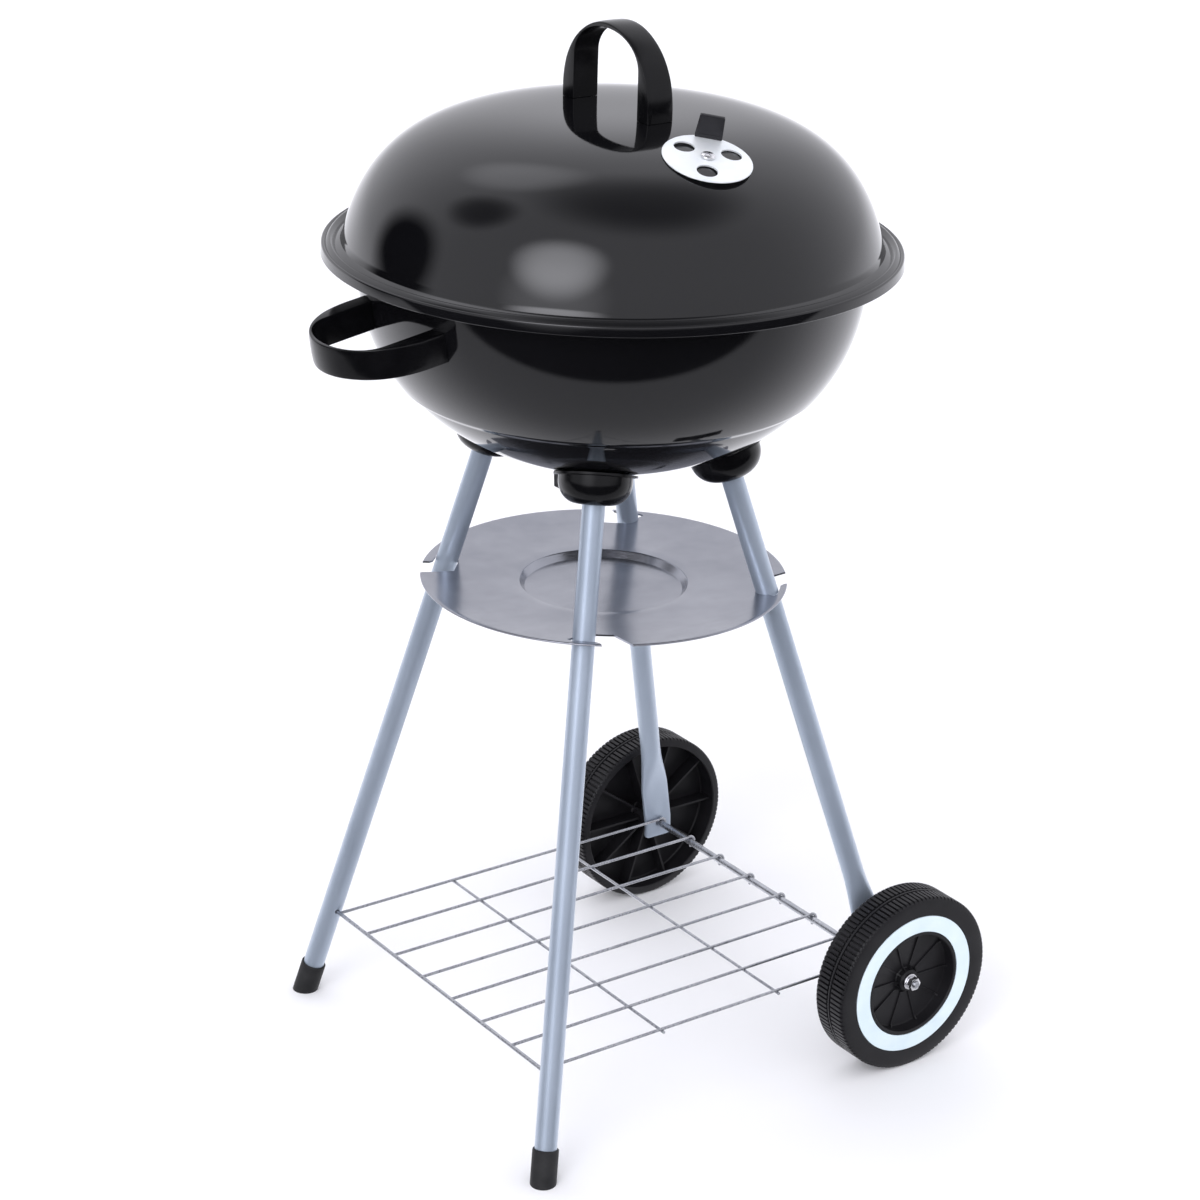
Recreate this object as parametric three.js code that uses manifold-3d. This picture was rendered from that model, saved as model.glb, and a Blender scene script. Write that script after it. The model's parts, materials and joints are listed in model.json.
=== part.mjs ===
// Kettle charcoal grill on a four-leg stand with two wheels.
// Millimetres, +Z up, floor at z = 0. +X runs from the feet to the wheels, Y along the axle.
// Shapes are modelled around the kettle's vertical axis, then the whole group is moved so that
// the middle of its footprint is at the origin.

import * as THREE from 'three';
import { mergeVertices } from 'three/addons/utils/BufferGeometryUtils.js';
import Module from 'manifold-3d';

const wasm = await Module();
wasm.setup();

// ---------------------------------------------------------------- driving dimensions

const GAP = 0.3;                 // clearance between touching pieces
const SHEET = 1.5;               // enamelled steel sheet of the lid and the bowl
const ROUND = 32;                // sides of the large turned shapes
const SIDES = 12;                // sides of the tubes and small turned shapes
const SMALL = 8;                 // sides of screws, bolt holes and washers
const WIRE = 4;                  // sides of the wires
const LID_STEPS = 9;             // points along each side of the lid's dome
const BOWL_STEPS = 11;           // points along each side of the bowl

const RIM_Z = 688;               // height of the lid's lower edge
const RIM_R = 227.5;             // outer radius of the lid's lip
const LIP_H = 9;                 // height of the lip
const LEDGE_W = 14.5;            // flat ledge between the lip and the dome
const LID = { radius: 218, height: 220, centre: -107, power: 3.5 };
const BOWL = { radius: 200, height: 168, centre: 0, power: 2.24 };
const STEP = { z: -101, depth: 2.5, height: 5 };   // pressed ledge that carries the charcoal grate
const FLANGE_R = 222;            // outer radius of the bowl's flange
const BOWL_FLAT_R = 52;          // flat bottom of the bowl, for its damper

const HANDLE = { span: 114, width: 24, rise: 67, spring: 8, legT: 16, root: -20, bevel: 1.5 };
const HANDLE_GRIP = { spring: 37, topT: 5 };       // the finger opening's straight sides and roof
const SIDE_HANDLE_Z = -34.5;     // middle of the side handle below the rim
const SIDE_HANDLE_DROOP = 9;     // degrees, square to the bowl's wall
const HANDLE_SCREW = { y: 49, depth: 26, lidSink: 4, bowlSink: 12.8 };

const LID_DAMPER = { x: -9, y: -128, radius: 34.3, sag: 1.3, lift: 0.4 };
const BOWL_DAMPER = { radius: 46, drop: 1.6 };
const VENT = { count: 3, radius: 8, pitch: 20.5 };
const BOWL_VENT = { count: 3, radius: 10, pitch: 28 };
const DAMPER_T = 1.2;

const COOKING = { z: -18.7, radius: 190.5, wire: 2.5, bars: 17, braces: [0] };
const CHARCOAL = { z: -97.2, radius: 161.5, wire: 2.5, bars: 11, braces: [0] };
const BAR_R = 2;
const SUPPORT = { radius: 196.1, width: 16, shelf: 12, height: 13 };

const TUBE_R = 9;
const TUBE_WALL = 1.5;
const LEG_TOP = { x: 70, y: 80, z: 500 };          // a point that every leg's axis passes, mirrored
const FOOT = { x: 176, y: 185 };                   // where a front leg's axis meets the floor
const CUP = { flange: 33, body: 29, tip: 14, depth: 20.5 };
const LEG_INSET = 7;             // from the bowl's surface down to the leg's end, inside the cup
const CAP = { radius: 10.6, height: 27, legEnd: 8.5 };

const WHEEL = { x: 185, z: 78, radius: 78, width: 35, y: 185.5 };
const RING = { inner: 47.3, outer: 61.4, thickness: 1 };
const WEB = { back: 1.5, front: 5.5, boss: 10, face: 12, rim: 44 };   // across the wheel's disc
const AXLE_R = 3;
const AXLE_HALF = 207;
const BLADE = { y: 160, half: 14, thickness: 4, length: 14, start: 95, end: 38 };

const ASH = { z: 417, radius: 149, recess: 70, recessDepth: 7, dish: 5, sheet: 1.5 };
const SLOT = { inner: 20, from: -5.5, tip: 6, to: 16.4 };  // radial depth and angles about each leg

const SHELF = { z: 82, front: -158.6, half: 155, wires: 8, wire: 1.3, crossbars: [-41, 77] };

// ---------------------------------------------------------------- materials

const finish = (color, roughness, metalness) => () =>
  new THREE.MeshStandardMaterial({ color, roughness, metalness });
const enamel = finish(0x0b0b0d, 0.12, 0.0);
const blackPlastic = finish(0x0e0e10, 0.3, 0.0);
const legPaint = finish(0xb9c2cf, 0.38, 0.5);
const sheetSteel = finish(0xb9bdc2, 0.32, 0.9);
const brightSteel = finish(0xd8dadd, 0.2, 1.0);
const wireSteel = finish(0xa9adb2, 0.35, 0.9);
const rubber = finish(0x1b1b1c, 0.75, 0.0);
const wheelPlastic = finish(0x232326, 0.6, 0.0);
const whiteTrim = finish(0xe9f0f2, 0.45, 0.0);

// ---------------------------------------------------------------- solids and placing

const UP = new THREE.Vector3(0, 0, 1);
const v3 = (x, y, z) => new THREE.Vector3(x, y, z);

// A closed solid from a three.js geometry, turned right side out if it is inside out.
function solid(geometry) {
  const bare = geometry.index ? geometry.toNonIndexed() : geometry.clone();
  bare.deleteAttribute('normal');
  bare.deleteAttribute('uv');
  const merged = mergeVertices(bare, 1e-4);
  const points = merged.attributes.position.array;
  const kept = [];
  let volume = 0;
  const a = v3();
  const b = v3();
  const c = v3();
  for (let i = 0; i < merged.index.count; i += 3) {
    const [ia, ib, ic] = [0, 1, 2].map((k) => merged.index.getX(i + k));
    if (ia === ib || ib === ic || ic === ia) continue;
    kept.push(ia, ib, ic);
    a.fromArray(points, 3 * ia);
    b.fromArray(points, 3 * ib);
    c.fromArray(points, 3 * ic);
    volume += a.dot(b.cross(c));
  }
  if (volume < 0) kept.reverse();
  return new wasm.Manifold(new wasm.Mesh({
    numProp: 3,
    vertProperties: new Float32Array(points),
    triVerts: new Uint32Array(kept),
  }));
}

function geometryOf(body) {
  const mesh = body.getMesh();
  const geometry = new THREE.BufferGeometry();
  geometry.setAttribute('position', new THREE.BufferAttribute(new Float32Array(mesh.vertProperties), 3));
  geometry.setIndex(new THREE.BufferAttribute(new Uint32Array(mesh.triVerts), 1));
  geometry.computeVertexNormals();
  return geometry;
}

const grill = new THREE.Group();

function add(name, body, material) {
  const mesh = new THREE.Mesh(geometryOf(body), material());
  mesh.name = name;
  grill.add(mesh);
}

// Moves a solid by a three.js matrix.
const placed = (body, matrix) => body.transform(matrix.elements);

// A matrix that puts a shape's own Z axis along a direction, with its origin at a point.
function alongZ(point, direction) {
  const turn = new THREE.Quaternion().setFromUnitVectors(UP, direction.clone().normalize());
  return new THREE.Matrix4().compose(point, turn, v3(1, 1, 1));
}

// A matrix from three axes and an origin.
function axesAt(point, xAxis, yAxis, zAxis) {
  return new THREE.Matrix4().makeBasis(xAxis, yAxis, zAxis).setPosition(point);
}

// A turned solid about Z from a closed outline of [radius, height] points.
function turned(outline, sides = SIDES) {
  const closes = outline[0][0] === 0 && outline[outline.length - 1][0] === 0;
  const ring = closes ? outline : [...outline, outline[0]];
  const geometry = new THREE.LatheGeometry(ring.map(([r, z]) => new THREE.Vector2(r, z)), sides);
  return solid(geometry.rotateX(Math.PI / 2));
}

// A round bar between two points.
function bar(from, to, radius, sides = SIDES) {
  const span = to.clone().sub(from);
  const geometry = new THREE.CylinderGeometry(radius, radius, span.length(), sides).rotateX(Math.PI / 2);
  const middle = from.clone().add(to).multiplyScalar(0.5);
  return solid(geometry.applyMatrix4(alongZ(middle, span)));
}

// A round wire along a curve, closed at its ends.
function wireAlong(curve, radius, steps, sides = WIRE) {
  const section = new THREE.Shape();
  section.absarc(0, 0, radius, 0, 2 * Math.PI);
  return solid(new THREE.ExtrudeGeometry(section, { steps, extrudePath: curve, curveSegments: sides / 2 }));
}

function block(width, depth, height, centre) {
  return solid(new THREE.BoxGeometry(width, depth, height).translate(centre.x, centre.y, centre.z));
}

function ringWire(radius, wire, z) {
  return solid(new THREE.TorusGeometry(radius, wire, WIRE, ROUND).translate(0, 0, z));
}

const joined = (bodies) => bodies.reduce((sum, body) => sum.add(body));
const polar = (radius, degrees, z = 0) => v3(
  radius * Math.cos(THREE.MathUtils.degToRad(degrees)),
  radius * Math.sin(THREE.MathUtils.degToRad(degrees)),
  z,
);

// ---------------------------------------------------------------- kettle outlines

// Points of a superellipse from one polar angle to another, grown outwards by an offset.
function shellCurve(shell, fromDegrees, toDegrees, count, grow = 0) {
  const points = [];
  for (let i = 0; i <= count; i += 1) {
    const angle = THREE.MathUtils.degToRad(fromDegrees + ((toDegrees - fromDegrees) * i) / count);
    const c = Math.abs(Math.cos(angle)) / (shell.radius + grow);
    const s = Math.abs(Math.sin(angle)) / (shell.height + grow);
    const reach = (c ** shell.power + s ** shell.power) ** (-1 / shell.power);
    const radius = Math.abs(angle) === Math.PI / 2 ? 0 : reach * Math.cos(angle);
    points.push([radius, RIM_Z + shell.centre + reach * Math.sin(angle)]);
  }
  return points;
}

// Height of the outer surface of a shell at a radius; sign is 1 for the lid and -1 for the bowl.
function shellHeight(shell, radius, sign) {
  const rest = 1 - (radius / shell.radius) ** shell.power;
  return RIM_Z + shell.centre + sign * shell.height * rest ** (1 / shell.power);
}

// Radius of the outer surface of a shell at a height.
function shellRadius(shell, z) {
  const share = Math.abs(z - RIM_Z - shell.centre) / shell.height;
  return shell.radius * (1 - share ** shell.power) ** (1 / shell.power);
}

const LEDGE_R = RIM_R - LEDGE_W;
const LEDGE_Z = RIM_Z + LIP_H;
const LID_FOOT_DEGREES = 28.8;   // polar angle where the dome meets the ledge

function lidOutline() {
  const outer = shellCurve(LID, 90, LID_FOOT_DEGREES, LID_STEPS);
  const inner = shellCurve(LID, LID_FOOT_DEGREES, 90, LID_STEPS, -SHEET);
  const under = LEDGE_Z - SHEET;
  return [
    ...outer,
    [LEDGE_R + 1.5, LEDGE_Z],
    [LEDGE_R + 7, LEDGE_Z - 0.8],
    [RIM_R - 4.5, LEDGE_Z],
    [RIM_R - 1.2, LEDGE_Z - 0.3],
    [RIM_R, LEDGE_Z - 1.6],
    [RIM_R, RIM_Z],
    [RIM_R - SHEET, RIM_Z],
    [RIM_R - SHEET, under - 0.8],
    [RIM_R - 4.5, under],
    [LEDGE_R + 7, under - 0.6],
    [LEDGE_R + 1, under],
    ...inner,
  ];
}

// The bowl's wall, with the pressed step and the flat bottom.
function bowlCurve(grow) {
  return shellCurve(BOWL, 0, -90, BOWL_STEPS, grow).map(([r, z]) => {
    const below = THREE.MathUtils.smoothstep(RIM_Z + STEP.z - z, 0, STEP.height);
    const radius = r === 0 ? 0 : r - STEP.depth * below;
    return [radius, z];
  });
}

const BOWL_FLOOR = shellHeight(BOWL, BOWL_FLAT_R, -1);

function bowlOutline() {
  const outer = bowlCurve(0).filter(([r]) => r > BOWL_FLAT_R);
  const inner = bowlCurve(-SHEET).filter(([r]) => r > BOWL_FLAT_R - 1).reverse();
  const top = LEDGE_Z - SHEET - 0.6 - GAP;
  const under = top - SHEET;
  return [
    [0, BOWL_FLOOR + SHEET],
    [BOWL_FLAT_R - 1, BOWL_FLOOR + SHEET],
    ...inner,
    [BOWL.radius - SHEET, top - 1],
    [BOWL.radius, top],
    [FLANGE_R - 1, top],
    [FLANGE_R, top - 1],
    [FLANGE_R, top - 4],
    [FLANGE_R - SHEET, top - 4],
    [FLANGE_R - SHEET, under],
    [BOWL.radius + 1.5, under],
    ...outer,
    [BOWL_FLAT_R, BOWL_FLOOR],
    [0, BOWL_FLOOR],
  ];
}

// Everything inside the outer surface of a shell, grown by the clearance. Cuts its neighbours.
function lidEnvelope() {
  return turned([[0, RIM_Z], ...shellCurve(LID, LID_FOOT_DEGREES, 90, LID_STEPS, GAP)], ROUND);
}

function bowlEnvelope() {
  const wall = shellCurve(BOWL, 0, -90, BOWL_STEPS, GAP);
  return turned([[0, RIM_Z + 2], [BOWL.radius + GAP, RIM_Z + 2], ...wall], ROUND);
}

// ---------------------------------------------------------------- legs: axes and cups

// Each leg's axis from its place at LEG_TOP.z down to its lower end.
function legAxes() {
  const legs = [];
  for (const side of [1, -1]) {
    const hand = side > 0 ? 'left' : 'right';
    legs.push({
      name: `front_${hand}`,
      side,
      wheeled: false,
      top: v3(-LEG_TOP.x, side * LEG_TOP.y, LEG_TOP.z),
      end: v3(-FOOT.x, side * FOOT.y, 0),
    });
    legs.push({
      name: `rear_${hand}`,
      side,
      wheeled: true,
      top: v3(LEG_TOP.x, side * LEG_TOP.y, LEG_TOP.z),
      end: v3(WHEEL.x, side * BLADE.y, WHEEL.z),
    });
  }
  for (const leg of legs) {
    leg.down = leg.end.clone().sub(leg.top).normalize();
    leg.up = leg.down.clone().negate();
    leg.root = leg.top.clone();
    for (let i = 0; i < 40; i += 1) {
      const surface = shellHeight(BOWL, Math.hypot(leg.root.x, leg.root.y), -1) - 1.2;
      leg.root.addScaledVector(leg.up, surface - leg.root.z);
    }
  }
  return legs;
}

const LEGS = legAxes();
const onLeg = (leg, distance) => leg.root.clone().addScaledVector(leg.down, distance);
const legAtHeight = (leg, z) => leg.top.clone().addScaledVector(leg.down, (leg.top.z - z) / -leg.down.z);

function cupSolid(leg) {
  const { flange, body, tip, depth } = CUP;
  const outline = [
    [0, 9],
    [flange, 9],
    [flange, -2],
    [flange - 1.5, -3],
    [body, -4],
    [body - 1.5, -9.5],
    [body - 6.5, -15.5],
    [tip, -depth],
    [0, -depth],
  ];
  const socket = bar(v3(0, 0, -LEG_INSET + GAP), v3(0, 0, -depth - 1), TUBE_R + GAP);
  const boltHole = bar(v3(0, 0, 20), v3(0, 0, -20), 3.6, SMALL);
  const cup = turned(outline, 16).subtract(socket).subtract(boltHole);
  return placed(cup, alongZ(leg.root, leg.up)).subtract(bowlEnvelope());
}

function frontLeg(leg) {
  const end = legAtHeight(leg, CAP.legEnd);
  const length = end.distanceTo(leg.root);
  const tube = turned([
    [TUBE_R, -LEG_INSET],
    [TUBE_R, -length],
    [TUBE_R - TUBE_WALL, -length],
    [TUBE_R - TUBE_WALL, -LEG_INSET],
  ]);
  const hole = legAtHeight(leg, SHELF.z);
  const inward = v3(0, -leg.side, 0);
  const drill = bar(hole, hole.clone().addScaledVector(inward, 2 * TUBE_R), SHELF.wire + 0.9, 12);
  return placed(tube, alongZ(leg.root, leg.up)).subtract(drill);
}

// A lofted solid through closed rings of equal point count.
function loft(rings) {
  const count = rings[0].length;
  const positions = rings.flat().flatMap((p) => p.toArray());
  const index = [];
  for (let r = 0; r + 1 < rings.length; r += 1) {
    for (let i = 0; i < count; i += 1) {
      const j = (i + 1) % count;
      const [a, b, c, d] = [r * count + i, r * count + j, (r + 1) * count + i, (r + 1) * count + j];
      index.push(a, b, d, a, d, c);
    }
  }
  const last = (rings.length - 1) * count;
  for (let i = 1; i + 1 < count; i += 1) {
    index.push(0, i + 1, i, last, last + i, last + i + 1);
  }
  const geometry = new THREE.BufferGeometry();
  geometry.setAttribute('position', new THREE.Float32BufferAttribute(positions, 3));
  geometry.setIndex(index);
  return solid(geometry);
}

// A wheeled leg: a round tube pressed flat at its lower end and drilled for the axle. Below the
// axle the blade hangs plumb and is cut off level.
function rearLeg(leg) {
  const length = leg.end.distanceTo(leg.root);
  const slanted = v3(0, 1, 0).cross(leg.down).normalize();
  const ringAt = (distance, halfWide, halfThin) => {
    const below = Math.max(0, distance - length);
    const wide = below > 0 ? v3(-1, 0, 0) : slanted;
    const thin = below > 0 ? v3(0, 1, 0) : leg.down.clone().cross(wide).normalize();
    const centre = onLeg(leg, distance - below).addScaledVector(UP, -below);
    return Array.from({ length: SIDES }, (_, i) => {
      const angle = (2 * Math.PI * i) / SIDES;
      return centre.clone()
        .addScaledVector(wide, halfWide * Math.cos(angle))
        .addScaledVector(thin, halfThin * Math.sin(angle));
    });
  };
  const flatHalf = BLADE.thickness / 2;
  const rings = [
    ringAt(LEG_INSET, TUBE_R, TUBE_R),
    ringAt(length - BLADE.start, TUBE_R, TUBE_R),
    ringAt(length - BLADE.start + 20, TUBE_R + 1.2, TUBE_R - 2),
    ringAt(length - BLADE.start + 40, TUBE_R + 3.4, TUBE_R - 5.4),
    ringAt(length - BLADE.end, BLADE.half, flatHalf + 0.2),
    ringAt(length, BLADE.half, flatHalf + 0.2),
    ringAt(length + BLADE.length - 2, BLADE.half, flatHalf + 0.1),
    ringAt(length + BLADE.length, BLADE.half - 2, flatHalf),
  ];
  const inner = TUBE_R - TUBE_WALL;
  const bore = bar(onLeg(leg, 0), onLeg(leg, length - BLADE.start), inner);
  const hole = leg.end;
  const drill = bar(v3(hole.x, hole.y - 20, hole.z), v3(hole.x, hole.y + 20, hole.z), AXLE_R + 0.5, 12);
  return loft(rings).subtract(bore).subtract(drill);
}

function footCap(leg) {
  const length = legAtHeight(leg, CAP.legEnd).distanceTo(leg.root);
  const cap = turned([
    [0, -length - 20],
    [CAP.radius, -length - 20],
    [CAP.radius, -length + CAP.height - 10],
    [TUBE_R + GAP, -length + CAP.height - 8],
    [TUBE_R + GAP, -length - GAP],
    [0, -length - GAP],
  ]);
  const floorBelow = block(200, 200, 100, v3(leg.end.x, leg.end.y, -50));
  return placed(cap, alongZ(leg.root, leg.up)).subtract(floorBelow);
}

// A pan-headed screw along its own -Z, head above z = 0.
function screw(headR, headH, shankR, length) {
  return turned([
    [0, headH],
    [headR * 0.6, headH],
    [headR, headH * 0.45],
    [headR, 0],
    [shankR, 0],
    [shankR, -length],
    [0, -length],
  ], SMALL);
}

// A hexagonal nut on Z between two heights, bored to clear its screw.
function nut(acrossFlats, height, bore) {
  const corner = acrossFlats / Math.sqrt(3);
  const body = solid(new THREE.CylinderGeometry(corner, corner, height, 6).rotateX(Math.PI / 2));
  return body.subtract(bar(v3(0, 0, -height), v3(0, 0, height), bore, SMALL));
}

function addStand() {
  for (const leg of LEGS) {
    const frame = alongZ(leg.root, leg.up);
    add(`leg_cup_${leg.name}`, cupSolid(leg), blackPlastic);
    add(`leg_${leg.name}`, leg.wheeled ? rearLeg(leg) : frontLeg(leg), legPaint);
    const plug = turned([
      [3.3, -LEG_INSET - 1],
      [TUBE_R - TUBE_WALL - GAP, -LEG_INSET - 1],
      [TUBE_R - TUBE_WALL - GAP, -LEG_INSET - 19],
      [3.3, -LEG_INSET - 19],
    ], SMALL);
    add(`leg_insert_${leg.name}`, placed(plug, frame), wireSteel);
    const bolt = placed(screw(6, 3.5, 3, 22), new THREE.Matrix4().makeTranslation(0, 0, SHEET + 3.8));
    add(`leg_bolt_${leg.name}`, placed(bolt, frame), brightSteel);
    if (!leg.wheeled) add(`foot_cap_${leg.name}`, footCap(leg), rubber);
  }
}

// ---------------------------------------------------------------- handles

// Half-round arch outline; u across, v away from the surface. Its roots reach through the surface
// and are trimmed to it.
function archShape() {
  const { span, rise, spring, legT, root } = HANDLE;
  const half = span / 2;
  const inner = half - legT;
  const roof = rise - HANDLE_GRIP.topT - HANDLE_GRIP.spring;
  const shape = new THREE.Shape();
  shape.moveTo(half, root);
  shape.lineTo(half, spring);
  shape.absellipse(0, spring, half, rise - spring, 0, Math.PI, false);
  shape.lineTo(-half, root);
  shape.lineTo(-inner, root);
  shape.lineTo(-inner, HANDLE_GRIP.spring);
  shape.absellipse(0, HANDLE_GRIP.spring, inner, roof, Math.PI, 0, true);
  shape.lineTo(inner, root);
  shape.closePath();
  return shape;
}

function extruded(shape, width, bevel) {
  const geometry = new THREE.ExtrudeGeometry(shape, {
    depth: width - 2 * bevel,
    bevelEnabled: bevel > 0,
    bevelThickness: bevel,
    bevelSize: bevel,
    bevelOffset: -bevel,
    bevelSegments: 1,
    curveSegments: 10,
  });
  return solid(geometry.translate(0, 0, -width / 2 + bevel));
}

// A handle trimmed to the surface and its two screws, driven from inside the shell. The frame's Y
// crosses and Z leaves the surface; sink is how far the screw heads lie behind the frame.
function addHandle(prefix, frame, envelope, sink) {
  const { y, depth } = HANDLE_SCREW;
  const stand = new THREE.Matrix4().makeBasis(v3(0, 1, 0), v3(0, 0, 1), v3(1, 0, 0));
  const arch = placed(extruded(archShape(), HANDLE.width, HANDLE.bevel), stand);
  const sides = [-y, y];
  const drill = joined(sides.map((at) => bar(v3(0, at, -30), v3(0, at, depth - sink + 1), 2.6, SMALL)));
  const trimmed = placed(arch.subtract(drill), frame).subtract(envelope);
  add(prefix, trimmed, blackPlastic);
  sides.forEach((at, i) => {
    const flip = new THREE.Matrix4().makeRotationX(Math.PI).setPosition(0, at, -sink);
    add(`${prefix}_screw_${i + 1}`, placed(placed(screw(5, 2.2, 2.2, depth), flip), frame), brightSteel);
  });
  return placed(drill, frame);
}

// ---------------------------------------------------------------- dampers

// A round damper with vent holes and an upright tongue at its edge, about its own Z axis.
function damperDisc(radius, sag, vent, tongueDegrees) {
  const cap = (r) => -sag * (r / radius) ** 2;
  const radii = [0, 0.6, 1].map((f) => f * radius);
  let disc = turned([
    ...radii.map((r) => [r, cap(r)]),
    ...radii.map((r) => [r, cap(r) + DAMPER_T]).reverse(),
  ], 24);
  const tongue = block(DAMPER_T, 14, 9, v3(radius - 3, 0, cap(radius) + 4.6));
  const turn = new THREE.Matrix4().makeRotationZ(THREE.MathUtils.degToRad(tongueDegrees));
  disc = disc.add(placed(tongue, turn));
  for (let i = 0; i < vent.count; i += 1) {
    const at = polar(vent.pitch, tongueDegrees + 60 + (360 * i) / vent.count);
    disc = disc.subtract(bar(at.clone().setZ(-9), at.clone().setZ(9), vent.radius, SIDES));
  }
  return disc.subtract(bar(v3(0, 0, -9), v3(0, 0, 9), 2.6, SMALL));
}

// The grip over the tongue, slotted to fit it.
function damperGrip(radius, sag, tongueDegrees, height) {
  const base = -sag + DAMPER_T + 0.6;
  const grip = block(3.4, 20, height, v3(radius - 3, 0, base + height / 2));
  const slot = block(DAMPER_T + 2 * GAP, 14 + 2 * GAP, 20, v3(radius - 3, 0, base - 1));
  const turn = new THREE.Matrix4().makeRotationZ(THREE.MathUtils.degToRad(tongueDegrees));
  return placed(grip.subtract(slot), turn);
}

// Vent holes through a shell, closed by the damper's solid parts at rest.
function ventHoles(vent, tongueDegrees, frame) {
  const holes = [bar(v3(0, 0, -25), v3(0, 0, 25), 2.6, SMALL)];
  for (let i = 0; i < vent.count; i += 1) {
    const at = polar(vent.pitch, tongueDegrees + (360 * i) / vent.count);
    holes.push(bar(at.clone().setZ(-25), at.clone().setZ(25), vent.radius, SIDES));
  }
  return placed(joined(holes), frame);
}

function lidDamperFrame() {
  const { x, y, lift } = LID_DAMPER;
  const radius = Math.hypot(x, y);
  const slope = (shellHeight(LID, radius + 1, 1) - shellHeight(LID, radius - 1, 1)) / 2;
  const normal = v3((-slope * x) / radius, (-slope * y) / radius, 1).normalize();
  const surface = v3(x, y, shellHeight(LID, radius, 1));
  const across = v3(1, 0, 0).addScaledVector(normal, -normal.x).normalize();
  return axesAt(surface.addScaledVector(normal, lift), across, normal.clone().cross(across), normal);
}

const LID_TONGUE = 54;           // degrees from +X, pointing away over the crown
const BOWL_TONGUE = 180;

function addLidDamper(frame) {
  const { radius, sag } = LID_DAMPER;
  add('lid_damper', placed(damperDisc(radius, sag, VENT, LID_TONGUE), frame), brightSteel);
  add('lid_damper_grip', placed(damperGrip(radius, sag, LID_TONGUE, 19), frame), blackPlastic);
  const lifted = new THREE.Matrix4().makeTranslation(0, 0, DAMPER_T + GAP);
  add('lid_damper_screw', placed(placed(screw(5.5, 2.6, 2.2, 11), lifted), frame), brightSteel);
  const under = new THREE.Matrix4().makeTranslation(0, 0, -SHEET - 3.6);
  add('lid_damper_nut', placed(placed(nut(8, 3.2, 2.5), under), frame), brightSteel);
}

function addBowlDamper() {
  const { radius, drop } = BOWL_DAMPER;
  const flip = new THREE.Matrix4().makeRotationX(Math.PI).setPosition(0, 0, BOWL_FLOOR - drop + DAMPER_T);
  add('bowl_damper', placed(damperDisc(radius, 0, BOWL_VENT, BOWL_TONGUE), flip), sheetSteel);
  add('bowl_damper_grip', placed(damperGrip(radius, 0, BOWL_TONGUE, 24), flip), blackPlastic);
  const screwAt = new THREE.Matrix4().makeTranslation(0, 0, BOWL_FLOOR + SHEET + GAP);
  add('bowl_damper_screw', placed(screw(5.5, 2.6, 2.2, 11), screwAt), brightSteel);
  const nutAt = new THREE.Matrix4().makeTranslation(0, 0, BOWL_FLOOR - drop - 2.4);
  add('bowl_damper_nut', placed(nut(8, 3.2, 2.5), nutAt), brightSteel);
}

// ---------------------------------------------------------------- grates

// A round wire grate: a ring, parallel bars across it and stiffening bars beneath.
function grate({ z, radius, wire, bars, braces }) {
  const level = RIM_Z + z;
  const pieces = [ringWire(radius, wire, level)];
  const pitch = (2 * radius) / (bars + 1);
  for (let i = 1; i <= bars; i += 1) {
    const y = -radius + i * pitch;
    const reach = Math.sqrt(radius ** 2 - y ** 2);
    pieces.push(bar(v3(-reach, y, level + 1), v3(reach, y, level + 1), BAR_R, WIRE));
  }
  for (const x of braces.map((share) => share * radius)) {
    const reach = Math.sqrt(radius ** 2 - x ** 2);
    pieces.push(bar(v3(x, -reach, level - 0.8), v3(x, reach, level - 0.8), BAR_R, WIRE));
  }
  return pieces;
}

// A bent-wire lifting handle standing on two bars of the cooking grate.
function grateHandle(side) {
  const level = RIM_Z + COOKING.z;
  const x = side * (COOKING.radius - 16);
  const foot = (4 * COOKING.radius) / (COOKING.bars + 1);
  const curve = new THREE.CatmullRomCurve3([
    v3(x, -foot, level),
    v3(x, -foot + 1, level + 14),
    v3(x - side * 3, -0.6 * foot, level + 26),
    v3(x - side * 4, 0, level + 28),
    v3(x - side * 3, 0.6 * foot, level + 26),
    v3(x, foot - 1, level + 14),
    v3(x, foot, level),
  ]);
  return wireAlong(curve, BAR_R, 12);
}

function addGrates() {
  add('cooking_grate', joined([...grate(COOKING), grateHandle(1), grateHandle(-1)]), wireSteel);
  add('charcoal_grate', joined(grate(CHARCOAL)), wireSteel);
  const top = RIM_Z + COOKING.z - COOKING.wire - GAP;
  for (let i = 0; i < 4; i += 1) {
    const { radius, width, shelf, height } = SUPPORT;
    const leaf = block(1.5, width, height, v3(radius - 0.75, 0, top - 1.5 + height / 2));
    const ledge = block(shelf, width, 1.5, v3(radius - shelf / 2, 0, top - 0.75));
    const turn = new THREE.Matrix4().makeRotationZ(THREE.MathUtils.degToRad(45 + 90 * i));
    add(`grate_support_${i + 1}`, placed(leaf.add(ledge), turn), sheetSteel);
  }
}

// ---------------------------------------------------------------- kettle

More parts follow.
